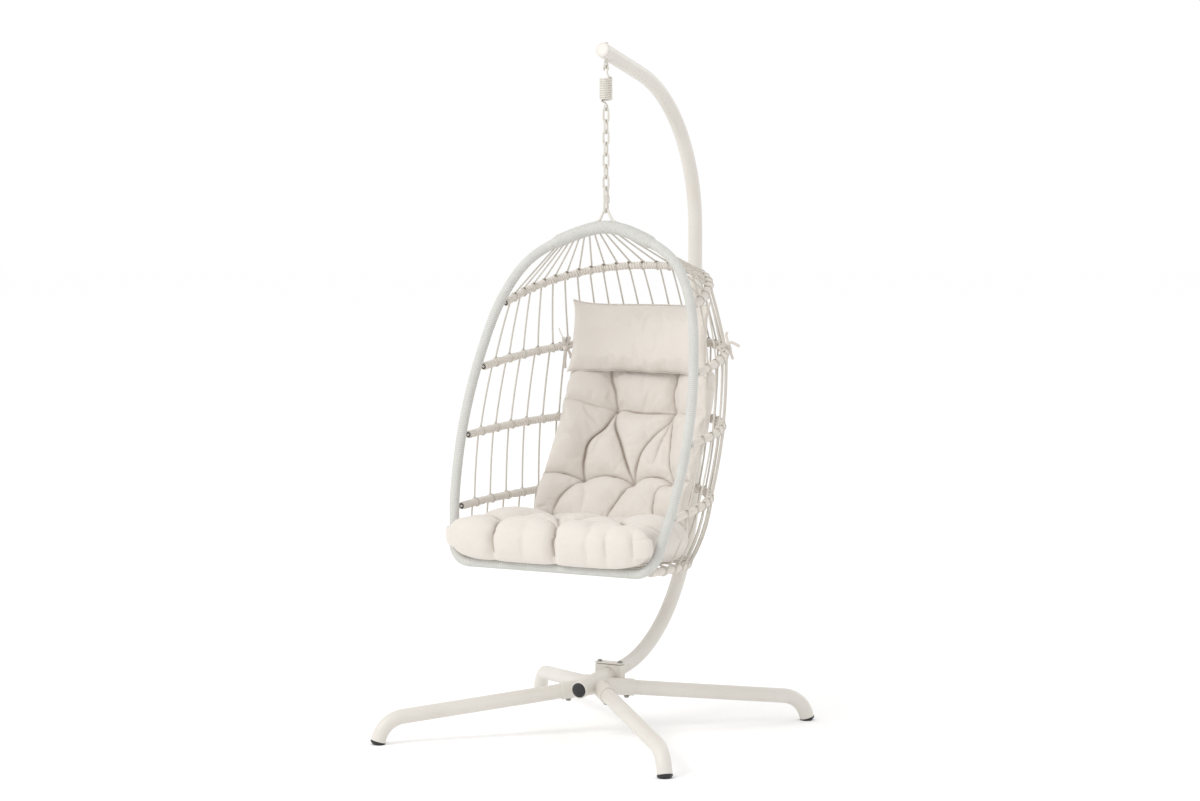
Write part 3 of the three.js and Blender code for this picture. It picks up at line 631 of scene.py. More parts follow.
def make_hub(coat, plastic):
    hub = Shape()
    for angle in LEGS.values():
        place = around_hub(angle)
        ends = [place(r, leg_z(r)) for r in (0, SLEEVE_END - 0.6)]
        hub.tube(ends, SLEEVE_R, 48)
    hub.tube([socket_at(SOCKET_FRONT), socket_at(SOCKET_BACK)], SLEEVE_R, 48)
    half_x, half_y, low, high = 42, 13, SADDLE_Z - 42, SADDLE_Z - 2
    block = np.array([
        [(x, SADDLE_Y + y, z) for x, y in ((-half_x, -half_y), (half_x, -half_y), (half_x, half_y),
                                           (-half_x, half_y))] for z in (low, high)], float)
    hub.sweep(block, [0, high - low])
    piece = hub.make("hub_casting", coat, "stand", "powder_coat", ["base_hub"])
    remesh = piece.modifiers.new("weld", "REMESH")
    remesh.mode = "VOXEL"
    remesh.voxel_size = 0.0014
    smooth = piece.modifiers.new("fillets", "SMOOTH")
    smooth.factor = 0.5
    smooth.iterations = 6
    apply_modifiers(piece)
    piece.data.shade_smooth()
    piece.data.materials.clear()
    piece.data.materials.append(coat)

    front = unit(socket_at(0) - socket_at(1))
    seat = socket_at(SOCKET_FRONT) + front * GAP
    r = SLEEVE_R - 3.6
    dome = [(r, 0), (r, 1.2), (r - 0.6, 2.2)]
    dome += [((r - 1.2) * cos(a), 2.6 + 5.2 * sin(a)) for a in np.radians(np.linspace(0, 88, 10))]
    Shape().lathe(dome, seat, front, 48).make("socket_dome", plastic, "stand", "end_cap", ["socket_plug"])

    for name, angle in LEGS.items():
        place = around_hub(angle)
        at = np.array(place(SLEEVE_END, leg_z(SLEEVE_END)))
        out = unit(at - np.array(place(0, leg_z(0))))
        ring = [(POLE_R + 0.2, -0.4), (SLEEVE_R - 0.8, -0.4), (SLEEVE_R, -1.4), (SLEEVE_R, -3.4),
                (SLEEVE_R - 1, -4), (POLE_R + 0.2, -4)]
        lip = Shape().lathe(ring[::-1], at, out, 48)
        lip.make(f"sleeve_lip_{name}", coat, "stand", "powder_coat")


def make_saddle(coat, steel):
    half_x, half_y, thick = 45, 17, 3.5
    top = SADDLE_Z + GAP
    corner = 7
    outline = []
    for cx, cy, start in ((1, 1, 0), (-1, 1, 90), (-1, -1, 180), (1, -1, 270)):
        outline += arc((cx * (half_x - corner), cy * (half_y - corner)), corner, start, start + 90, 6,
                       lambda x, y: (x, SADDLE_Y + y))
    layers = [(0, 0.6), (0.6, 0), (thick - 0.8, 0), (thick, 0.8)]
    centre = np.array([0, SADDLE_Y])
    rings = np.array([
        [(*(centre + (np.array(p) - centre) * (1 - inset / half_y)), top + z) for p in outline]
        for z, inset in layers])
    Shape().sweep(rings, [z for z, _ in layers]).make(
        "saddle_plate", coat, "stand", "powder_coat", ["pole_saddle"])
    for side, x in (("left", -SADDLE_BOLT_X), ("right", SADDLE_BOLT_X)):
        hex_bolt(6.2, 4.2, (x, SADDLE_Y, top + thick), (0, 0, 1)).make(
            f"saddle_screw_{side}", steel, "stand", "hardware", [f"saddle_bolt_{side}"])


def pole_paths():
    rise, kink = radians(POLE_RISE), radians(POLE_KINK)
    place = lambda y, z: (0, y, z)
    start = socket_at(POLE_FOOT_END)
    c1 = (start[1] - LOWER_BENDS[0] * sin(rise), start[2] + LOWER_BENDS[0] * cos(rise))
    bend1 = arc(c1, LOWER_BENDS[0], POLE_RISE - 90, POLE_KINK - 90, 40, place)
    end = bend1[-1]
    c2 = (end[1] - LOWER_BENDS[1] * sin(kink), end[2] + LOWER_BENDS[1] * cos(kink))
    bend2 = arc(c2, LOWER_BENDS[1], POLE_KINK - 90, 0, 36, place)[1:]
    back = bend2[-1][1]
    foot = [tuple(socket_at(y)) for y in np.linspace(POLE_START, POLE_FOOT_END, 6)[:-1]]
    lower = np.array([*foot, *bend1, *bend2, (0, back, POLE_SPLICE_Z)])
    bend3 = arc((back - UPPER_BEND_RADIUS, UPPER_BEND_START_Z), UPPER_BEND_RADIUS, 0, TIP_ANGLE, 60, place)
    turn = radians(TIP_ANGLE)
    way = np.array([0, -sin(turn), cos(turn)])
    tip = np.array(bend3[-1]) + way * TIP_STRAIGHT
    upper = np.array([(0, back, POLE_SPLICE_Z + 0.5), *bend3, tip])
    return lower, upper, tip, way, back


def make_pole(coat, plastic):
    lower, upper, tip, way, back = pole_paths()
    Shape().tube(lower, POLE_R, 48).make("pole_lower_tube", coat, "stand", "powder_coat", ["pole_lower"])
    Shape().tube(upper, POLE_R, 48).make("pole_upper_tube", coat, "stand", "powder_coat", ["pole_upper"])
    r = POLE_R
    dome = [(r - 0.8, 0), (r - 0.1, 0.5), (r - 0.1, 1.6), (r - 1.2, 2.8), (r - 4, 3.8), (r - 9, 4.3), (1, 4.5)]
    Shape().lathe(dome, tip + way * 0.2, way, 48).make(
        "pole_tip_plug", coat, "stand", "powder_coat", ["pole_tip_cap"])
    collar = [(r - 3, -0.7), (r - 0.7, -0.7), (r - 0.7, 1.2), (r - 3, 1.2)]
    Shape().lathe(collar, (0, back, POLE_SPLICE_Z), (0, 0, 1), 48).make(
        "pole_splice_ring", plastic, "stand", "hardware", ["pole_joint_sleeve"])


# ---- suspension ----
def stadium(centre_z, length, width, wire, across, steps=10):
    r = width / 2 - wire
    half = length / 2 - wire - r
    place = lambda a, z: np.array([0, HOOK_Y, z]) + np.array(across) * a
    top = arc((0, centre_z + half), r, 0, 180, steps, place)
    bottom = arc((0, centre_z - half), r, 180, 360, steps, place)
    left = [top[-1] * (1 - t) + bottom[0] * t for t in (0.33, 0.67)]
    right = [bottom[-1] * (1 - t) + top[0] * t for t in (0.33, 0.67)]
    return np.array([*top, *left, *bottom, *right])


def make_eye(wire):
    place = lambda y, z: (0, y, z)
    eye = Shape().tube(arc((HOOK_Y, EYE_Z), EYE_RADIUS, 95, 445, 40, place), EYE_WIRE, 16, round_ends=True)
    eye.tube([(0, HOOK_Y, EYE_Z + EYE_RADIUS - 1), (0, HOOK_Y, OVERALL_HEIGHT - 0.4)], EYE_WIRE, 20)
    eye.make("eye_bolt", wire, "stand", "powder_coat", ["hanger_eye"])
    nut = [(EYE_WIRE + 0.1, 0.2), (6.3, 0), (6.6, 0.5), (6.6, 2.6), (5.6, 3.6), (EYE_WIRE + 0.1, 3.8)]
    Shape().lathe(nut, (0, HOOK_Y, OVERALL_HEIGHT - 4), (0, 0, 1), 6).make(
        "eye_bolt_nut", wire, "stand", "powder_coat", ["eye_nut"], sharp=25)


def make_spring(wire):
    turns = np.linspace(0, SPRING_TURNS, int(SPRING_TURNS * 28) + 1)
    height = SPRING_TOP - SPRING_BOTTOM - 2 * SPRING_WIRE
    a = 2 * pi * turns
    coil = np.stack([
        SPRING_RADIUS * np.cos(a), HOOK_Y + SPRING_RADIUS * np.sin(a),
        SPRING_TOP - SPRING_WIRE - height * turns / SPRING_TURNS], 1)
    eye_floor = EYE_Z - EYE_RADIUS + EYE_WIRE
    top = arc((0, eye_floor + GAP + SPRING_WIRE - TOP_HOOK_R), TOP_HOOK_R, 215, -60, 24,
              lambda x, z: (x, HOOK_Y, z))
    bottom = arc((HOOK_Y, BOTTOM_HOOK_Z), BOTTOM_HOOK_R, 60, -210, 24, lambda y, z: (0, y, z))
    lead_in = spline([
        top[-1], (5, HOOK_Y, SPRING_TOP + 7), (12, HOOK_Y - 3, SPRING_TOP + 0.5), tuple(coil[2])], 8)
    end = coil[-3]
    lead_out = spline([tuple(end), (end[0] * 0.8, HOOK_Y - 3, SPRING_BOTTOM - 1.5),
                       (end[0] * 0.3, HOOK_Y + 1, SPRING_BOTTOM - 4.5), bottom[0]], 8)
    path = np.vstack([top[:-1], lead_in[:-1], coil[3:-3], lead_out[:-1], bottom])
    spring = Shape().tube(resample(path, 1.6), SPRING_WIRE, 10, round_ends=True)
    piece = spring.make("spring_coil", wire, None, "powder_coat", ["suspension_spring"])
    hook = to_frame([(0, HOOK_Y, EYE_Z - 12), (0, HOOK_Y, BOTTOM_HOOK_Z + 4)])
    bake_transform(piece)


def make_chain(wire):
    pitch = LINK_LENGTH - 4 * LINK_WIRE - GAP
    first_z = BOTTOM_HOOK_Z - BOTTOM_HOOK_R + SPRING_WIRE + GAP + 2 * LINK_WIRE - LINK_LENGTH / 2
    for i in range(LINK_COUNT):
        across = (1, 0, 0) if i % 2 == 0 else (0, 1, 0)
        path = stadium(first_z - i * pitch, LINK_LENGTH, LINK_WIDTH, LINK_WIRE, across)
        ring = Shape().tube(path, LINK_WIRE, 14, closed=True)
        weld = LINK_WIDTH / 2 - LINK_WIRE
        at = np.array([0, HOOK_Y, first_z - i * pitch]) + np.array(across) * weld
        bead = np.array([at + np.array([0, 0, z]) for z in np.linspace(-2, 2, 7)])
        radii = np.array([[LINK_WIRE + 0.35 * cos(pi * t / 2)] * 14 for t in np.linspace(-1, 1, 7)])
        ring.tube(bead, LINK_WIRE, 14, radii=radii)
        body = "first_link" if i == 0 else "chain"
        ring.make(f"link_{i + 1}", wire, body, "powder_coat", [f"chain_link_{i + 1}"])
    return first_z - (LINK_COUNT - 1) * pitch - LINK_LENGTH / 2


def make_clip(wire, chain_end):
    top = chain_end + LINK_WIRE * 2 + CLIP_WIRE * 2 + CLIP_GAP
    centre_z = top - CLIP_LENGTH / 2
    path = stadium(centre_z, CLIP_LENGTH, CLIP_WIDTH, CLIP_WIRE, (0, 1, 0), 14)
    Shape().tube(path, CLIP_WIRE, 16, closed=True).make(
        "quick_link_body", wire, "clip", "powder_coat", ["quick_link"])
    side = CLIP_WIDTH / 2 - CLIP_WIRE
    at = (0, HOOK_Y + side, centre_z)
    nut = [(CLIP_WIRE, -9), (5.8, -9), (6.4, -8.3), (6.4, 8.3), (5.8, 9), (CLIP_WIRE, 9)]
    sleeve = Shape().lathe(nut, at, (0, 0, 1), 6)
    z = np.linspace(9, 15, 43)
    thread = np.stack([0 * z, 0 * z + HOOK_Y + side, centre_z + z], 1)
    radii = CLIP_WIRE + 0.25 + 0.25 * np.sin(2 * pi * z[:, None] - np.linspace(0, 2 * pi, 16)[None])
    sleeve.tube(thread, CLIP_WIRE, 16, radii=radii)
    sleeve.make("quick_link_sleeve", wire, "clip", "powder_coat", ["quick_link_nut"], sharp=30)
    return top - CLIP_LENGTH


def make_hanger_loop(coat, clip_end):
    top_z = clip_end + 2 * CLIP_WIRE + LOOP_WIRE + GAP
    foot_z = HOOP_TOP_Z + HOOP_R + LOOP_WIRE + GAP
    arch = arc((0, top_z - 7), 7, 150, 30, 16, lambda x, z: (x, HOOK_Y, z))
    left = [(-31, HOOK_Y, foot_z - 4), (-26, HOOK_Y, foot_z - 1.4), (-20, HOOK_Y, foot_z + 2)]
    right = [(-x, y, z) for x, y, z in left[::-1]]
    path = resample(spline([*left, *arch[::4], *right], 8), 1.6)
    Shape().tube(path, LOOP_WIRE, 16, round_ends=True).make(
        "hanger_loop_rod", coat, "basket", "powder_coat", ["hanger_loop"])


# ---- basket frame ----
def hoop_point(x, s, out=0.0):
    return np.array([
        x,
        HOOK_Y - s * sin(HOOP_LEAN) + out * cos(HOOP_LEAN),
        HOOP_TOP_Z - s * cos(HOOP_LEAN) - out * sin(HOOP_LEAN)])


def hoop_side():
    """Right half of the hoop, from its top to the front rail, as across and down in its plane."""
    mirrored = [(-x, s) for x, s in HOOP_OUTLINE[2:0:-1]]
    side = spline([*mirrored, *HOOP_OUTLINE], 24)[24 * len(mirrored):]
    corner = arc((RAIL_HALF + 12, HOOP_LENGTH - CORNER_R), 1, 12, 90, 24,
                 lambda x, s: (RAIL_HALF + 12 + (x - RAIL_HALF - 12) * CORNER_WIDTH,
                               HOOP_LENGTH - CORNER_R + (s - HOOP_LENGTH + CORNER_R) * CORNER_R))
    return np.vstack([side, corner, [(RAIL_HALF, HOOP_LENGTH)]])


HOOP_SIDE = hoop_side()


def hoop_half_width(z):
    s = (HOOP_TOP_Z - z) / cos(HOOP_LEAN)
    return float(np.interp(s, HOOP_SIDE[:, 1], HOOP_SIDE[:, 0]))


def hoop_down(x):
    """How far down its plane the hoop's upper part is, at x across."""
    return float(np.interp(abs(x), HOOP_SIDE[:120, 0], HOOP_SIDE[:120, 1]))


def rib_width(rib):
    return rib.get("half_width") or hoop_half_width(rib["z"]) - 5


def rib_point(rib, degrees, outwards=0.0):
    a = radians(degrees)
    w = rib_width(rib)
    c = cos(a)
    x = -copysign(w * abs(c) ** (2 / RIB_POWER), c)
    back = rib["depth"] * max(sin(a), 0) ** (2 / RIB_POWER)
    s = (HOOP_TOP_Z - rib["z"]) / cos(HOOP_LEAN)
    start = HOOK_Y - s * sin(HOOP_LEAN) + RIB_BEHIND_HOOP
    p = np.array([x, start + back, rib["z"] + rib["rise"] * back])
    return p + rib_normal(rib, x, back, w) * outwards if outwards else p


def rib_normal(rib, x, back, w):
    nx = copysign((abs(x) / w) ** (RIB_POWER - 1) / w, x)
    ny = (back / rib["depth"]) ** (RIB_POWER - 1) / rib["depth"]
    flat = unit(np.array([nx, ny, 0]))
    lift = radians(rib["lift"])
    return flat * cos(lift) + np.array([0, 0, sin(lift)])


def rib_frame(rib, degrees):
    """A point of the rib, the rib's direction there, and the way out of the basket."""
    here = rib_point(rib, degrees)
    tangent = unit(rib_point(rib, degrees + 1) - rib_point(rib, degrees - 1))
    return here, tangent, unit(rib_point(rib, degrees, 1.0) - here)


def square_to(way, tangent):
    return unit(way - tangent * (way @ tangent))


def rib_path(rib, trim=0.0):
    return np.array([rib_point(rib, a) for a in np.linspace(trim, 180 - trim, 121)])


def make_hoop(hoop_wrap):
    right = np.array([hoop_point(x, s) for x, s in HOOP_SIDE])
    left = right[1:][::-1] * (-1, 1, 1)
    path = np.vstack([left, right])
    rail = [hoop_point(x, HOOP_LENGTH) for x in np.linspace(-RAIL_HALF + GAP, RAIL_HALF - GAP, 9)]
    for name, line, phase in (("hoop", path, 0), ("front_rail", rail, 1.3)):
        Shape().wound_tube(line, HOOP_R, HOOP_PITCH, 0.9, sides=24, lumps=0.25, phase=phase).make(
            f"{name}_winding", hoop_wrap, "basket", "rope_wrapped_tube", [name])


def wound_rib(path, phase):
    return Shape().wound_tube(
        path, RIB_R + 1.2, RIB_PITCH, 2.0, sides=16, per_turn=8, lumps=1.2, phase=phase)


def make_ribs(rib_wrap, wire, plastic):
    rims, bore_shade_discs, studs = Shape(), Shape(), Shape()
    for i, rib in enumerate(RIBS, 1):
        path = rib_path(rib, 0.6)
        wound_rib(path, i).make(
            f"rib_winding_{i}", rib_wrap, "basket", "rope_wrapped_tube", [f"rib_{i}"])
        for at, inner in ((path[0], path[1]), (path[-1], path[-2])):
            out = unit(at - inner)
            mouth = at - out * 0.4
            rims.lathe([(8.2, 0.2), (9.6, 0.4), (10.2, 1.2), (10.2, 2.6), (9.4, 3.4), (8.2, 3.4), (7.8, 2.8),
                        (7.8, 0.8)], mouth, out, 32)
            # Painted shade: a black disc just inside each open rib end stands in for the shade in the tube's
            # bore.
            bore_shade_discs.lathe([(8.0, 0.1), (8.0, 0.9), (1, 0.9)], mouth, out, 32)
            studs.lathe([(2.2, 0.3), (3.7, 0.4), (3.7, 4.2), (3.0, 5.0), (1, 5.2)], mouth, out, 24)
    rims.make("rib_end_rims", rib_wrap, "basket", "rope_wrapped_tube")
    bore_shade_discs.make("rib_end_bore_shade", plastic, "basket", "end_cap")
    studs.make("rib_studs", wire, "basket", "hardware", [
        f"rib_stud_{i}_{end}" for i in range(1, len(RIBS) + 1) for end in ("left", "right")])
    wound_rib(rib_path(SEAT_RAIL), 7).make(
        "seat_frame_winding", rib_wrap, "basket", "rope_wrapped_tube", ["seat_frame"])


# ---- cord lacing ----
def cord_turn(centre, tangent, outward, start, end, reach, advance, steps=20):
    """A turn of cord round a tube, from `start` to `end` degrees measured up from outward."""
    up = unit(np.cross(tangent, outward))
    if up[2] < 0:
        up = -up
    points = []
    for t in np.linspace(0, 1, steps + 1):
        a = radians(start + (end - start) * t)
        spoke = cos(a) * outward + sin(a) * up
        points.append(centre + reach * spoke + tangent * advance * (t - 0.5))
    return points


def strand_path(j):
    """From the hoop's top down the outside, once round each rib, and round the seat frame at the end."""
    t = j / (STRANDS - 1)
    degrees = STRAND_EDGE + (180 - 2 * STRAND_EDGE) * t
    reach = RIB_R + 1.7
    top_x = STRAND_TOP_HALF * (2 * t - 1)
    path = [hoop_point(top_x, hoop_down(top_x), HOOP_R - 2)]
    mid_side = copysign(1, degrees - 90)
    for k, rib in enumerate([*RIBS, SEAT_RAIL]):
        here, tangent, outward = rib_frame(rib, degrees)
        tangent = tangent * mid_side
        outward = square_to(outward, tangent)
        end = -310 if rib is not SEAT_RAIL else -400
        turn = cord_turn(here, tangent, outward, 60, end, reach, 7)
        if k:
            bow = 11 if rib is SEAT_RAIL else 3
            before = path[-1]
            for f in (0.2, 0.4, 0.6, 0.8):
                sag = 4 * f * (1 - f) * bow
                path.append(before * (1 - f) + turn[0] * f + outward * sag)
        path += turn
    return resample(np.array(path), 4.0)


def make_lacing(cord, hoop_wrap):
    strands = Shape()
    knots = Shape()
    for j in range(STRANDS):
        strands.tube(strand_path(j), STRAND_R, 8, round_ends=True)
        degrees = STRAND_EDGE + (180 - 2 * STRAND_EDGE) * j / (STRANDS - 1)
        for rib in RIBS:
            here, tangent, outward = rib_frame(rib, degrees)
            up = unit(np.cross(tangent, outward))
            up = up if up[2] > 0 else -up
            at = here + up * (RIB_R + 2.4) + outward * 2.5
            ring = [at + 2.3 * (cos(a) * tangent + sin(a) * outward) + up * 0.8 * sin(2 * a)
                    for a in np.linspace(0, 2 * pi, 12, endpoint=False)]
            # Painted shade: each knot is darkened by 0.75, standing in for the shade round it.
            knots.tube(ring, STRAND_R * 0.8, 8, closed=True, painted_shade=np.full((12, 8), 0.75))
    strands.make("lacing_strands", cord, "basket", "rope", ["rope_lacing"])
    knots.make("lacing_knots", cord, "basket", "rope")
    reach = STRAND_TOP_HALF + 10
    top = [hoop_point(x, hoop_down(x)) for x in np.linspace(-reach, reach, 41)]
    Shape().wound_tube(top, HOOP_R + 4.6, 5.2, 1.8, sides=24, lumps=0.6, phase=0.4, taper=3.8).make(
        "hoop_lashing", hoop_wrap, "basket", "rope")


def make_deck(cord):
    """Cords from the front rail to the back of the seat frame, and a few across them."""
    deck = Shape()
    rail = hoop_point(0, HOOP_LENGTH)
    start = rib_point(SEAT_RAIL, 0)[1]
    half = SEAT_RAIL["half_width"]
    reach = HOOP_R - 1
    for x in np.linspace(-240, 240, 13):
        share = (1 - (abs(x) / half) ** RIB_POWER) ** (1 / RIB_POWER)
        back = SEAT_RAIL["depth"] * share
        z_back = SEAT_RAIL["z"] + SEAT_RAIL["rise"] * back
        front = [np.array([x, rail[1] + reach * cos(a), rail[2] + reach * sin(a)])
                 for a in np.radians(np.linspace(-60, 40, 8))]
        end = [np.array([x, start + back + 13.5 * cos(a), z_back + 13.5 * sin(a)])
               for a in np.radians(np.linspace(100, -170, 14))]
        deck.tube(resample(np.array([*front, *end]), 5), STRAND_R, 8, round_ends=True)
    for y in np.linspace(start + 40, start + 470, 9):
        back = y - start
        half_here = half * max(1 - (back / SEAT_RAIL["depth"]) ** RIB_POWER, 0) ** (1 / RIB_POWER)
        z = SEAT_RAIL["z"] + SEAT_RAIL["rise"] * back
        xs = np.linspace(-half_here, half_here, 60)
        weave = 2.6 * np.cos(xs / 40 * pi)
        points = np.stack([xs, 0 * xs + y, z + 6.5 + weave], 1)
        deck.tube(points, STRAND_R, 8, round_ends=True)
    deck.make("seat_deck_cords", cord, "basket", "rope", ["seat_deck"])


# ---- cushions ----
class Mat:
    """A closed padded mat over a rounded rectangle: a top sheet, a bottom sheet and a band round the edge.

    place(x, s, lift, face) gives the point at x across and s along, lifted by a share of the half thickness.
    """

    def __init__(self, across, along, band, edge_radius, roundness=2.2):
        self.na, self.ns, self.nb = across, along, band
        self.edge_radius = edge_radius
        self.roundness = roundness

    def grid(self):
        ease = lambda q: 0.72 * q + 0.28 * np.sin(q * pi / 2)
        a = ease(np.linspace(-1, 1, self.na + 1))
        c = ease(np.linspace(-1, 1, self.ns + 1))
        return np.meshgrid(a, c, indexing="ij")

    def perimeter(self):
        """Indices of the sheet's edge, in order round it."""
        na, ns = self.na, self.ns
        return ([(i, 0) for i in range(na)] + [(na, j) for j in range(ns)]
                + [(i, ns) for i in range(na, 0, -1)] + [(0, j) for j in range(ns, 0, -1)])

    def build(self, place, half_sizes):
        """Points, faces, UVs and the size of a sheet, from plan shares a and c that run from -1 to 1."""
        a, c = self.grid()
        wide, long = half_sizes
        r, n = self.edge_radius, self.roundness
        from_side = np.maximum(r - (1 - np.abs(a)) * wide, 0)
        from_end = np.maximum(r - (1 - np.abs(c)) * long, 0)
        edge = np.maximum(r - np.hypot(from_side, from_end), 0)
        first = 0.1 * r
        share = np.clip((edge + first) / (r + first), 0, 1)
        lift = (1 - (1 - share) ** n) ** (1 / n)
        inset, inset_c = 1 - first / wide, 1 - first / long
        sheets = [place(a * inset, c * inset_c, face * lift, face).reshape(-1, 3) for face in (1, -1)]
        loop = self.perimeter()
        around, count = len(loop), a.size
        la, lc = a[tuple(np.transpose(loop))], c[tuple(np.transpose(loop))]
        band = []
        for phi in 1 - 2 * np.arange(1, self.nb) / self.nb:
            out = 1 - abs(phi) ** 2.2
            band.append(place(la * (inset + (1 - inset) * out), lc * (inset_c + (1 - inset_c) * out),
                              np.full(around, lift[0, 0] * phi), np.sign(phi)))

        index = np.arange(count).reshape(a.shape)
        quads = np.stack([index[:-1, :-1], index[1:, :-1], index[1:, 1:], index[:-1, 1:]], -1).reshape(-1, 4)
        plan = np.stack([a * wide, c * long], -1).reshape(-1, 2) * MM
        faces = [quads, quads[:, ::-1] + count]
        uvs = [plan[quads.ravel()], plan[quads[:, ::-1].ravel()]]
        rim = index[tuple(np.transpose(loop))]
        rings = np.vstack([rim, 2 * count + np.arange((self.nb - 1) * around).reshape(-1, around), rim + count])
        run = np.cumsum(np.hypot(*np.diff([la * wide, lc * long], axis=1)))
        run = np.concatenate([[0], run, [run[-1] + 5]]) * MM
        for k in range(self.nb):
            near, far = rings[k], rings[k + 1]
            faces.append(np.stack([near, far, np.roll(far, -1), np.roll(near, -1)], 1))
            u = np.stack([run[:-1], run[:-1], run[1:], run[1:]], 1)
            v = np.broadcast_to([k * 0.01, (k + 1) * 0.01, (k + 1) * 0.01, k * 0.01], u.shape)
            uvs.append(np.stack([u, v], -1).reshape(-1, 2))
        return np.vstack([*sheets, *band]), np.vstack(faces).tolist(), np.vstack(uvs), count


def distance_to_line(x, s, line):
    """Distance of plan points to a polyline."""
    best = np.full(np.shape(x), 1e9)
    for (x0, s0), (x1, s1) in zip(line[:-1], line[1:]):
        dx, ds = x1 - x0, s1 - s0
        t = np.clip(((x - x0) * dx + (s - s0) * ds) / (dx * dx + ds * ds), 0, 1)
        best = np.minimum(best, np.hypot(x - x0 - t * dx, s - s0 - t * ds))
    return best


# Buttons of the seat-and-back cushion in its plan: across, and along it from the front edge up the back.
BUTTONS = {
    "A1": (-102, 804), "A2": (88, 804),
    "B1": (-140, 575), "B2": (5, 567), "B3": (155, 580),
    "F1": (-188, 398), "F2": (-24, 398), "F3": (142, 398),
    "E1": (-98, 250), "E2": (92, 250),
    "D1": (-185, 105), "D2": (-8, 100), "D3": (208, 105),
}
# Creases between them: points or button names, depth in mm, and width.
CREASES = [
    (["A1", (-106, 855), (-121, 898), (-132, 958)], 13, 15),
    (["A2", (81, 852), (84, 890), (92, 958)], 14, 14),
    (["A1", (-118, 808), (-152, 815), (-197, 834), (-228, 845)], 9, 12),
    (["A2", (150, 797), (225, 810)], 8, 14),
    (["A1", (-78, 806), (-40, 797), (20, 796), "A2"], 16, 17),
    (["A1", (-120, 744), (-148, 702), (-150, 650), "B1"], 17, 14),
    (["A1", (-90, 750), (-62, 694), (-32, 633), "B2"], 15, 12),
    (["A1", (-112, 748), (-121, 703), (-134, 655)], 6, 10),
    (["A2", (78, 768), (32, 714), (8, 656), "B2"], 15, 14),
    (["A2", (82, 745), (70, 695), (64, 634)], 11, 10),
    (["A2", (112, 690), (125, 640), "B3"], 14, 14),
    (["B1", (-186, 591), (-232, 602)], 16, 16),
    (["B1", (-84, 586), (-27, 578), "B2"], 22, 18),
    (["B2", (48, 587), (111, 590), "B3"], 22, 18),
    (["B3", (200, 592), (240, 600)], 16, 16),
    (["B1", (-176, 500), "F1"], 12, 14),
    (["B2", (-12, 500), "F2"], 14, 14),
    (["B3", (112, 545), (116, 480), "F3"], 13, 13),
    (["B1", (-110, 500), (-104, 440)], 4, 12),
    ([(-290, 398), "F1", (-100, 404), "F2", (60, 404), "F3", (290, 398)], 27, 22),
    (["F1", (-150, 320), "E1"], 14, 14),
    (["F2", (-50, 320), "E1"], 14, 14),
    (["F2", (30, 320), "E2"], 14, 14),
    (["F3", (120, 320), "E2"], 14, 14),
    (["E1", (-150, 160), "D1"], 15, 14),
    (["E1", (-50, 165), "D2"], 14, 14),
    (["E2", (40, 165), "D2"], 14, 14),
    (["E2", (150, 165), "D3"], 15, 14),
    (["D1", (-150, 116), (-60, 118), "D2"], 15, 16),
    (["D2", (60, 116), (140, 118), "D3"], 15, 16),
    (["D1", (-240, 120), (-300, 128)], 13, 16),
    (["D3", (260, 122), (300, 130)], 12, 16),
    (["D1", (-172, 60), (-162, 0), (-163, -36), (-160, -68)], 17, 13),
    (["D2", (14, 50), (28, 0), (26, -36), (29, -68)], 22, 13),
    ([(266, 8), (273, -20), (275, -62)], 9, 9),
    ([(190, 0), (197, -54)], 7, 12),
    ([(120, 60), (142, 4)], 5, 12),
]
# Dents of the front wall: across, depth and half width.
FRONT_PINCHES = [(-163, 19, 15), (28, 27, 14), (138, 4, 10), (198, 7, 9), (274, 6, 10), (-60, 3, 16)]


def crease_lines():
    """Each crease as its curve in the plan, depth and width."""
    for line, deep, wide in CREASES:
        points = [BUTTONS.get(p, p) for p in line]
        yield spline(points, 6) if len(points) > 2 else np.array(points, float), deep, wide


def tuft_depth(x, s):
    """How far the top sheet is pulled in, in mm, and how firmly it is held there (0 to 1)."""
    depth = np.zeros(np.shape(x))
    hold = np.zeros(np.shape(x))
    for points, deep, wide in crease_lines():
        d = distance_to_line(x, s, points)
        fall = 1.25 * deep * np.exp(-d / (1.45 * wide))
        depth = np.maximum(depth, fall) + 0.25 * np.minimum(depth, fall)
        hold = np.maximum(hold, min(deep / 16, 1) * np.exp(-(d / 6) ** 2))
    for bx, bs in BUTTONS.values():
        d = np.hypot(x - bx, s - bs)
        fall = 32 * np.exp(-(d / 21) ** 1.1)
        depth = np.maximum(depth, fall) + 0.3 * np.minimum(depth, fall)
        hold = np.maximum(hold, np.exp(-(d / 9) ** 2))
    return depth, hold


def fold_grooves(x, s):
    """The narrow slit at the bottom of each crease, from 0 to 1; it is also the mask of the painted shade in
    the creases.
    """
    slit = np.zeros(np.shape(x))
    for points, deep, _ in crease_lines():
        d = distance_to_line(x, s, points)
        ends = min(np.hypot(*(points[0] - points[-1])), 60)
        away = np.minimum(np.hypot(x - points[0][0], s - points[0][1]),
                          np.hypot(x - points[-1][0], s - points[-1][1]))
        firm = min(deep / 15, 1) ** 1.5
        slit = np.maximum(slit, firm * np.exp(-(d / 2.9) ** 2) * (0.55 + 0.45 * np.clip(away / ends, 0, 1)))
    for bx, bs in BUTTONS.values():
        slit = np.maximum(slit, np.exp(-(np.hypot(x - bx, s - bs) / 5) ** 2))
    return slit


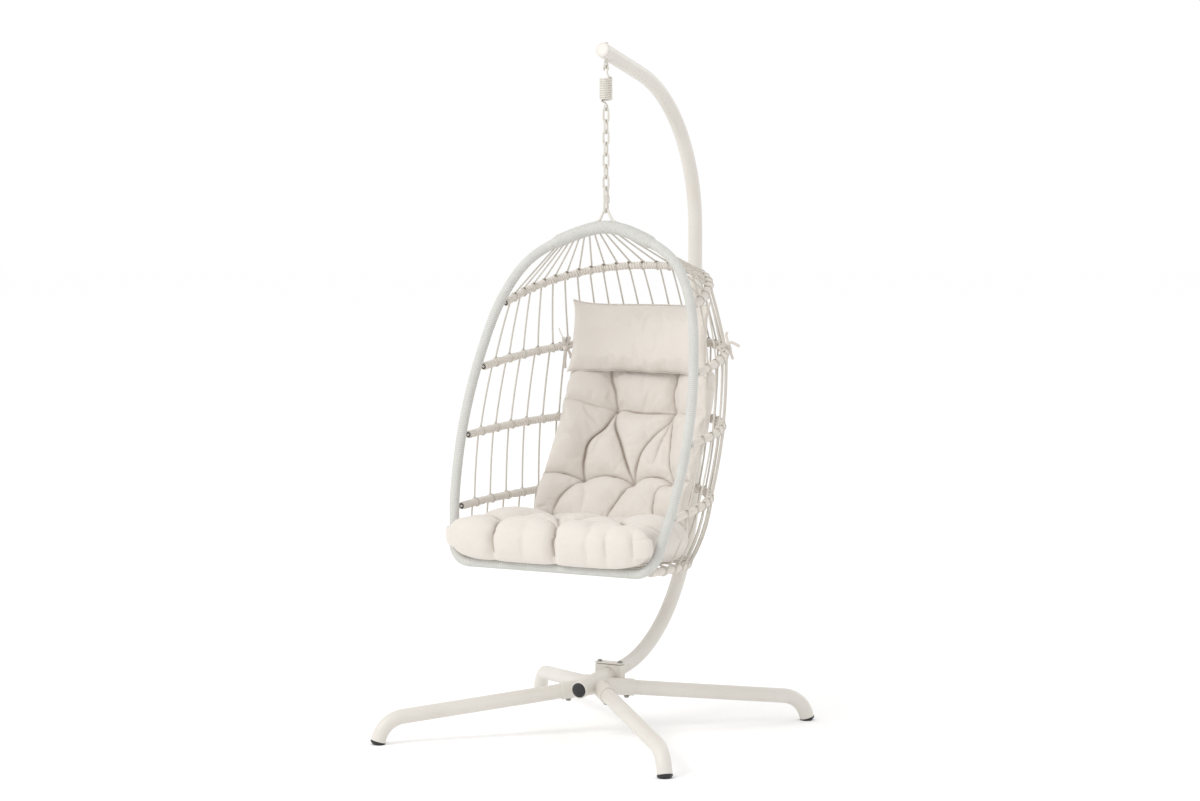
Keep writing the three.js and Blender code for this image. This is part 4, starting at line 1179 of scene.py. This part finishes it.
def cushion_shape():
    line = spline(CUSHION_LINE, 40)
    length = np.concatenate([[0], np.cumsum(np.linalg.norm(np.diff(line, axis=0), axis=1))])
    total = length[-1]
    at = lambda s: np.stack([np.interp(s, length, line[:, 0]), np.interp(s, length, line[:, 1])], -1)

    def sizes(s):
        t = s / total
        wide = SEAT_HALF + (BACK_HALF - SEAT_HALF) * smoothstep(t, 0.12, 0.6)
        thick = SEAT_THICKNESS + (BACK_THICKNESS - SEAT_THICKNESS) * smoothstep(t, 0.3, 0.6)
        bow = BACK_BOW * smoothstep(t, 0.32, 0.6)
        spread = FRONT_SPREAD * smoothstep(s, -14, 32) * (1 - smoothstep(s, 36, 66))
        return wide + spread, thick, bow

    def place(a, c, lift, face):
        corner = np.abs(a) ** 7 * np.abs(c) ** 7
        s = total / 2 * (1 + c * (1 - 0.05 * corner))
        wide, thick, bow = sizes(s)
        x = a * wide * (1 - 0.06 * corner)
        middle = at(s)
        way = unit(at(np.minimum(s + 3, total)) - at(np.maximum(s - 3, 0)))
        up = np.stack([-way[..., 1], way[..., 0]], -1)
        depth, _ = tuft_depth(x, s - FRONT_OVERHANG)
        on_back = smoothstep(s / total, 0.42, 0.6)
        pull = depth * (1.0 if face > 0 else 0.0 if face == 0 else -(0.12 + 0.33 * on_back))
        pull = pull * smoothstep(np.abs(lift), 0.15, 0.8)
        front_corner = np.exp(-((wide - np.abs(x)) / 75) ** 2 - (s / 95) ** 2)
        height = lift * thick / 2 * (1 - 0.34 * front_corner) - pull
        y = middle[..., 0] + up[..., 0] * height - bow * (x / wide) ** 2
        z = middle[..., 1] + up[..., 1] * height + 9 * front_corner
        z = z - FRONT_DROOP * (1 - smoothstep(s, 12, 48)) * smoothstep(-lift, -0.3, 0.7)
        if face < 0:
            rail = hoop_point(0, HOOP_LENGTH)
            on_rail = (HOOP_R + 1.5) ** 2 - (y - rail[1]) ** 2
            z = np.where(on_rail > 0, np.maximum(z, rail[2] + np.sqrt(np.maximum(on_rail, 0))), z)
        nearness = 1 - smoothstep(s, 0, 46)
        pinch = sum(deep * np.exp(-(np.abs(x - px) / w) ** 1.3) for px, deep, w in FRONT_PINCHES)
        y = y + pinch * nearness * np.where(face == 0, 1.0, np.clip(1.15 - 0.5 * np.abs(lift), 0, 1))
        return np.stack([x, y, z], -1)

    return place, sizes, (SEAT_HALF, total / 2), total


def mesh_points(mesh):
    out = np.empty(len(mesh.vertices) * 3)
    mesh.vertices.foreach_get("co", out)
    return out.reshape(-1, 3)


def inflate(piece, hold, pressure, shrink, frames, cap, resting=slice(0, 0)):
    """Blows the piece up as cloth, held where `hold` is near 1, and limits how far a point may move.

    The points in `resting` lie on the deck and the cords, so they hardly move.
    """
    start = mesh_points(piece.data)
    group = piece.vertex_groups.new(name="hold")
    for i in np.nonzero(hold > 0.02)[0]:
        group.add([int(i)], float(min(hold[i], 1)), "REPLACE")
    cloth = piece.modifiers.new("cloth", "CLOTH")
    for name, value in dict(
            quality=5, mass=0.25, tension_stiffness=12, compression_stiffness=8, shear_stiffness=4,
            bending_stiffness=0.35, tension_damping=6, compression_damping=6, shear_damping=6, air_damping=2,
            use_pressure=True, uniform_pressure_force=pressure, shrink_min=shrink, vertex_group_mass="hold",
            pin_stiffness=1.0).items():
        setattr(cloth.settings, name, value)
    cloth.settings.effector_weights.gravity = 0
    cloth.collision_settings.use_collision = False
    cloth.collision_settings.use_self_collision = False
    cloth.point_cache.frame_start = 1
    cloth.point_cache.frame_end = frames
    for step in range(1, frames + 1):
        bpy.context.scene.frame_set(step)
    apply_modifiers(piece)
    bpy.context.scene.frame_set(1)
    moved = mesh_points(piece.data) - start
    length = np.linalg.norm(moved, axis=1, keepdims=True)
    moved = moved * np.minimum(1, cap / np.maximum(length, 1e-9))
    length = np.linalg.norm(moved[resting], axis=1, keepdims=True)
    moved[resting] *= np.minimum(1, RESTING_CAP / np.maximum(length, 1e-9))
    piece.data.vertices.foreach_set("co", (start + moved).ravel())
    piece.data.update()
    piece.vertex_groups.clear()


def subdivide(piece):
    modifier = piece.modifiers.new("smooth", "SUBSURF")
    modifier.levels = 1
    modifier.render_levels = 1
    apply_modifiers(piece)
    piece.data.shade_smooth()


def press_grooves(piece, depth):
    """Sinks the slits into the fine mesh along its normals, from the plan place that each point carries, and
    paints shade into the slits by darkening them.
    """
    mesh = piece.data
    count = len(mesh.vertices)
    plan = np.empty(count * 3)
    mesh.attributes["plan"].data.foreach_get("vector", plan)
    plan = plan.reshape(-1, 3)
    normals = np.empty(count * 3)
    mesh.vertex_normals.foreach_get("vector", normals)
    slit = fold_grooves(plan[:, 0], plan[:, 1]) * smoothstep(plan[:, 2], 0.4, 0.95)
    moved = mesh_points(mesh) - normals.reshape(-1, 3) * (slit * depth)[:, None]
    mesh.vertices.foreach_set("co", moved.ravel())
    # Painted shade: the slits are darkened, standing in for the shade in them.
    set_painted_shade(mesh, 0.85 * slit ** 1.4)
    mesh.update()


def make_cushion(cloth_material):
    place, sizes, halves, total = cushion_shape()
    mat = Mat(across=104, along=150, band=9, edge_radius=58, roundness=2.3)
    points, faces, uvs, count = mat.build(place, halves)
    piece = add_mesh("seat_cushion_cover", points, faces, uvs, cloth_material)
    a, c = mat.grid()
    s = total / 2 * (1 + c)
    wide = sizes(s)[0]
    _, hold = tuft_depth(a * wide, s - FRONT_OVERHANG)
    full = np.zeros(len(points))
    full[:count] = hold.ravel()
    full[count:2 * count] = np.maximum(0.35 * hold.ravel(), 0.6)
    plan = np.zeros((len(points), 3))
    plan[:count] = np.stack([points[:count, 0], s.ravel() - FRONT_OVERHANG, np.ones(count)], 1)
    loop = mat.perimeter()
    for k in range(1, mat.nb):
        ring = 2 * count + (k - 1) * len(loop)
        for m in range(mat.na + 1):
            plan[ring + m] = (points[ring + m, 0], -FRONT_OVERHANG - WALL_STEP * k, 1)
    carried = piece.data.attributes.new("plan", "FLOAT_VECTOR", "POINT")
    carried.data.foreach_set("vector", plan.ravel())

    inflate(piece, full, pressure=4.5, shrink=-0.03, frames=22, cap=0.013, resting=slice(count, 2 * count))
    subdivide(piece)
    press_grooves(piece, 0.0055)
    finish_piece(piece, "basket", ["seat_cushion"])
    make_tacks(cloth_material, place, sizes, total)


def make_tacks(material, place, sizes, total):
    """Small knotted tacks that hold the tufts, set in the bottom of each one."""
    tacks = Shape()
    for x, plan_s in BUTTONS.values():
        s = plan_s + FRONT_OVERHANG
        c = 2 * s / total - 1
        wide = sizes(s)[0]
        spots = [place(np.array([(x + dx) / wide]), np.array([c + dc]), np.array([1.0]), 1)[0]
                 for dx, dc in ((-9, 0), (9, 0), (0, -0.02), (0, 0.02), (0, 0))]
        way = unit(np.cross(spots[1] - spots[0], spots[3] - spots[2]))
        dome = [(3.4, -4), (3.6, -2)] + [
            (3.4 * cos(q), 1.6 * sin(q)) for q in np.radians(np.linspace(0, 85, 6))]
        tacks.lathe(dome, spots[4] - way * 3, way, 14)
    tacks.make("cushion_tacks", material, "basket", "cushion_cloth")


def pillow_shape():
    half_w, half_h, thick = PILLOW["width"] / 2, PILLOW["height"] / 2, PILLOW["thickness"]

    def place(a, c, lift, face):
        crown = np.sqrt(np.maximum((1 - a ** 2) ** 0.9 * (1 - c ** 2) ** 0.9, 0)) ** 0.9 + 0.02
        ear = np.abs(a) ** 14 * np.abs(c) ** 10
        x = a * half_w * (0.975 - 0.035 * (1 - c ** 4) * a * a + 0.02 * ear)
        inner = 1 - a ** 6
        z = c * half_h * (0.985 - 0.10 * inner * c * c * (c > 0) - 0.03 * inner * (c < 0) + 0.05 * ear)
        share = crown if face > 0 else -crown if face < 0 else lift * 0
        depth = share * thick / 2
        hem = smoothstep(-c, 0.5, 1)
        gather = (0.8 * np.sin(a * 61) + 1.1 * np.sin(a * 23 + 1)) * smoothstep(-c, 0.55, 0.98) * np.sign(share)
        z = z - hem * (3.5 * (1 + a) + 1.5 * np.sin(a * 9 + 1) + 0.8 * np.sin(a * 21))
        rise = (z + half_h) * (1 - 0.75 * a * a)
        y = -depth + gather - PILLOW["bow"] * a * a + PILLOW["lean"] * rise
        x = x + 14 * (1 - a) * (1 + c) / 4
        return np.stack([x, PILLOW["y"] + y, PILLOW["z"] + z], -1)

    return place, (half_w, half_h)


def make_pillow(cloth_material):
    place, halves = pillow_shape()
    mat = Mat(across=64, along=32, band=2, edge_radius=30)
    points, faces, uvs, count = mat.build(place, halves)
    piece = add_mesh("head_pillow_cover", points, faces, uvs, cloth_material)
    hold = np.zeros(len(points))
    hold[2 * count:] = 0.9
    inflate(piece, hold, pressure=3.0, shrink=-0.015, frames=14, cap=0.007)
    subdivide(piece)
    finish_piece(piece, "basket", ["head_pillow"])

    a = np.concatenate([np.linspace(-1, 1, 60), np.ones(20), np.linspace(1, -1, 60), -np.ones(20)])
    c = np.concatenate([-np.ones(60), np.linspace(-1, 1, 20), np.ones(60), np.linspace(1, -1, 20)])
    edge = place(a * 0.997, c * 0.997, a * 0, 0)
    keep = np.concatenate([[True], np.linalg.norm(np.diff(edge, axis=0), axis=1) > 0.5])
    seam = resample(np.vstack([edge[keep], edge[:1]]), 5)[:-1]
    Shape().tube(seam, 1.5, 8, closed=True).make("pillow_seam", cloth_material, "basket", "cushion_cloth")


def ribbon(shape, points, width, across, thickness=0.9):
    """A flat tape along a path, whose width lies along `across` as far as the path lets it."""
    path = resample(spline(points, 10), 3)
    along = unit(np.gradient(path, axis=0))
    side = unit(across - along * (along @ across)[:, None])
    up = np.cross(along, side)
    turn = np.linspace(0, 2 * pi, 12, endpoint=False)
    section = np.cos(turn)[None, :, None] * side[:, None] * width / 2
    section = section + np.sin(turn)[None, :, None] * up[:, None] * thickness
    length = np.arange(len(path)) * 3.0
    shape.sweep(path[:, None] + section, length)


TAILS = {                              # tie tapes: points along the rib, up and towards the sitter; width; lie
    "left": [([(5, 12, 3), (10, 30, 5), (17, 48, 2), (20, 60, -3)], 7, "in"),
             ([(1, -14, 5), (3, -38, 4), (1, -60, 2)], 9, "along"),
             ([(-9, -10, 5), (-15, -22, 5), (-18, -33, 2)], 9, "along")],
    "right": [([(1, 3, -7), (2, -3, -18), (3, -15, -33)], 8, "up"),
              ([(-1, -12, -5), (-2, -30, -8), (-3, -48, -14)], 8, "in"),
              ([(-4, 12, 3), (-7, 25, 6), (-5, 34, 3)], 7, "in")],
}
KNOTS = {"left": (4, 0, 16), "right": (0, 16, -12)}


def make_ties(cloth_material):
    """A tape from each end of the pillow, tied in a small bow round the second rib."""
    rib = RIBS[1]
    up = np.array([0, 0, 1.0])
    for name, degrees in TIE_ANGLES.items():
        here, tangent, outward = rib_frame(rib, degrees)
        tangent = -tangent if name == "left" else tangent
        inward = -square_to(outward, tangent)
        lies = {"in": inward, "along": tangent, "up": up}
        place = lambda t, u, i: tangent * t + up * u + inward * i
        knot = here + place(*KNOTS[name])
        at = lambda t, u, i: knot + place(t, u, i)
        tie = Shape()
        for shift in (-7, 0, 7):
            turn = cord_turn(here + tangent * shift, tangent, -inward, 180, 540, RIB_R + 3.6, 6, 28)
            ribbon(tie, turn[::4], 9, tangent)
        for tail, width, lie in TAILS[name]:
            ribbon(tie, [at(0, 0, 0), *[at(*p) for p in tail]], width, lies[lie])
        if name == "left":
            for lean in (7, -7):
                loop = [(lean * 0.6, 12, 5), (lean * 1.5, 30, 7), (lean * 1.1, 33, 2), (lean * 0.4, 14, -1)]
                ribbon(tie, [at(0, 0, 1), *[at(*p) for p in loop], at(0, 1, 0)], 9, tangent)
            ribbon(tie, [at(0, 0, -2), at(-12, 3, 4), at(-26, 9, 6)], 9, up)
        else:
            ribbon(tie, [at(0, 0, 0), at(-3, -4, 12), at(-8, -8, 24), at(-16, -4, 34)], 9, up)
        lump = [(1, -8), (5.5, -7), (7.4, -3), (7.6, 1), (6, 5.6), (1, 8)]
        tie.lathe(lump, knot + inward * 1.5, tangent + up * 0.2, 16)
        tie.make(f"pillow_bow_{name}", cloth_material, "basket", "cushion_cloth",
                 [f"pillow_tie_{name}"], sharp=60)


# ---- the whole chair ----
make_camera()
make_studio()

coat = tinted("powder_coat", (7, 3), (214, 210, 203), (210, 205, 197), (60, 3, 0.36, 0.46),
              (320, 1, 0.0002, 0.04))
wire = tinted("painted_wire", (90, 2), (212, 208, 199), (204, 199, 190), (60, 2, 0.34, 0.42),
              (320, 1, 0.0001, 0.08), Metallic=0.15)
steel = tinted("zinc_steel", (220, 4), (176, 174, 168), (130, 128, 122), (90, 3, 0.28, 0.46),
               (1800, 2, 0.0002, 0.25), Metallic=1.0)
plastic = tinted("moulded_plastic", (40, 3), (26, 26, 28), (36, 36, 38), (120, 3, 0.3, 0.45),
                 (1200, 2, 0.0002, 0.4))
# The second colour of each winding is the painted shade between its turns.
hoop_wrap = wound_cord("hoop_winding", srgb(206, 206, 201), srgb(158, 155, 148), HOOP_PITCH * MM)
rib_wrap = wound_cord("rib_winding", srgb(220, 214, 206), srgb(164, 154, 142), RIB_PITCH * MM)
cord = twisted_cord()
cloth = cushion_cloth()

make_legs(coat, steel, plastic)
make_hub(coat, plastic)
make_saddle(coat, steel)
make_pole(coat, plastic)
make_eye(wire)
make_spring(wire)
clip_end = make_clip(wire, make_chain(wire))
make_hanger_loop(coat, clip_end)

make_hoop(hoop_wrap)
make_ribs(rib_wrap, wire, plastic)
make_lacing(cord, hoop_wrap)
make_deck(cord)
make_cushion(cloth)
make_pillow(cloth)
make_ties(cloth)
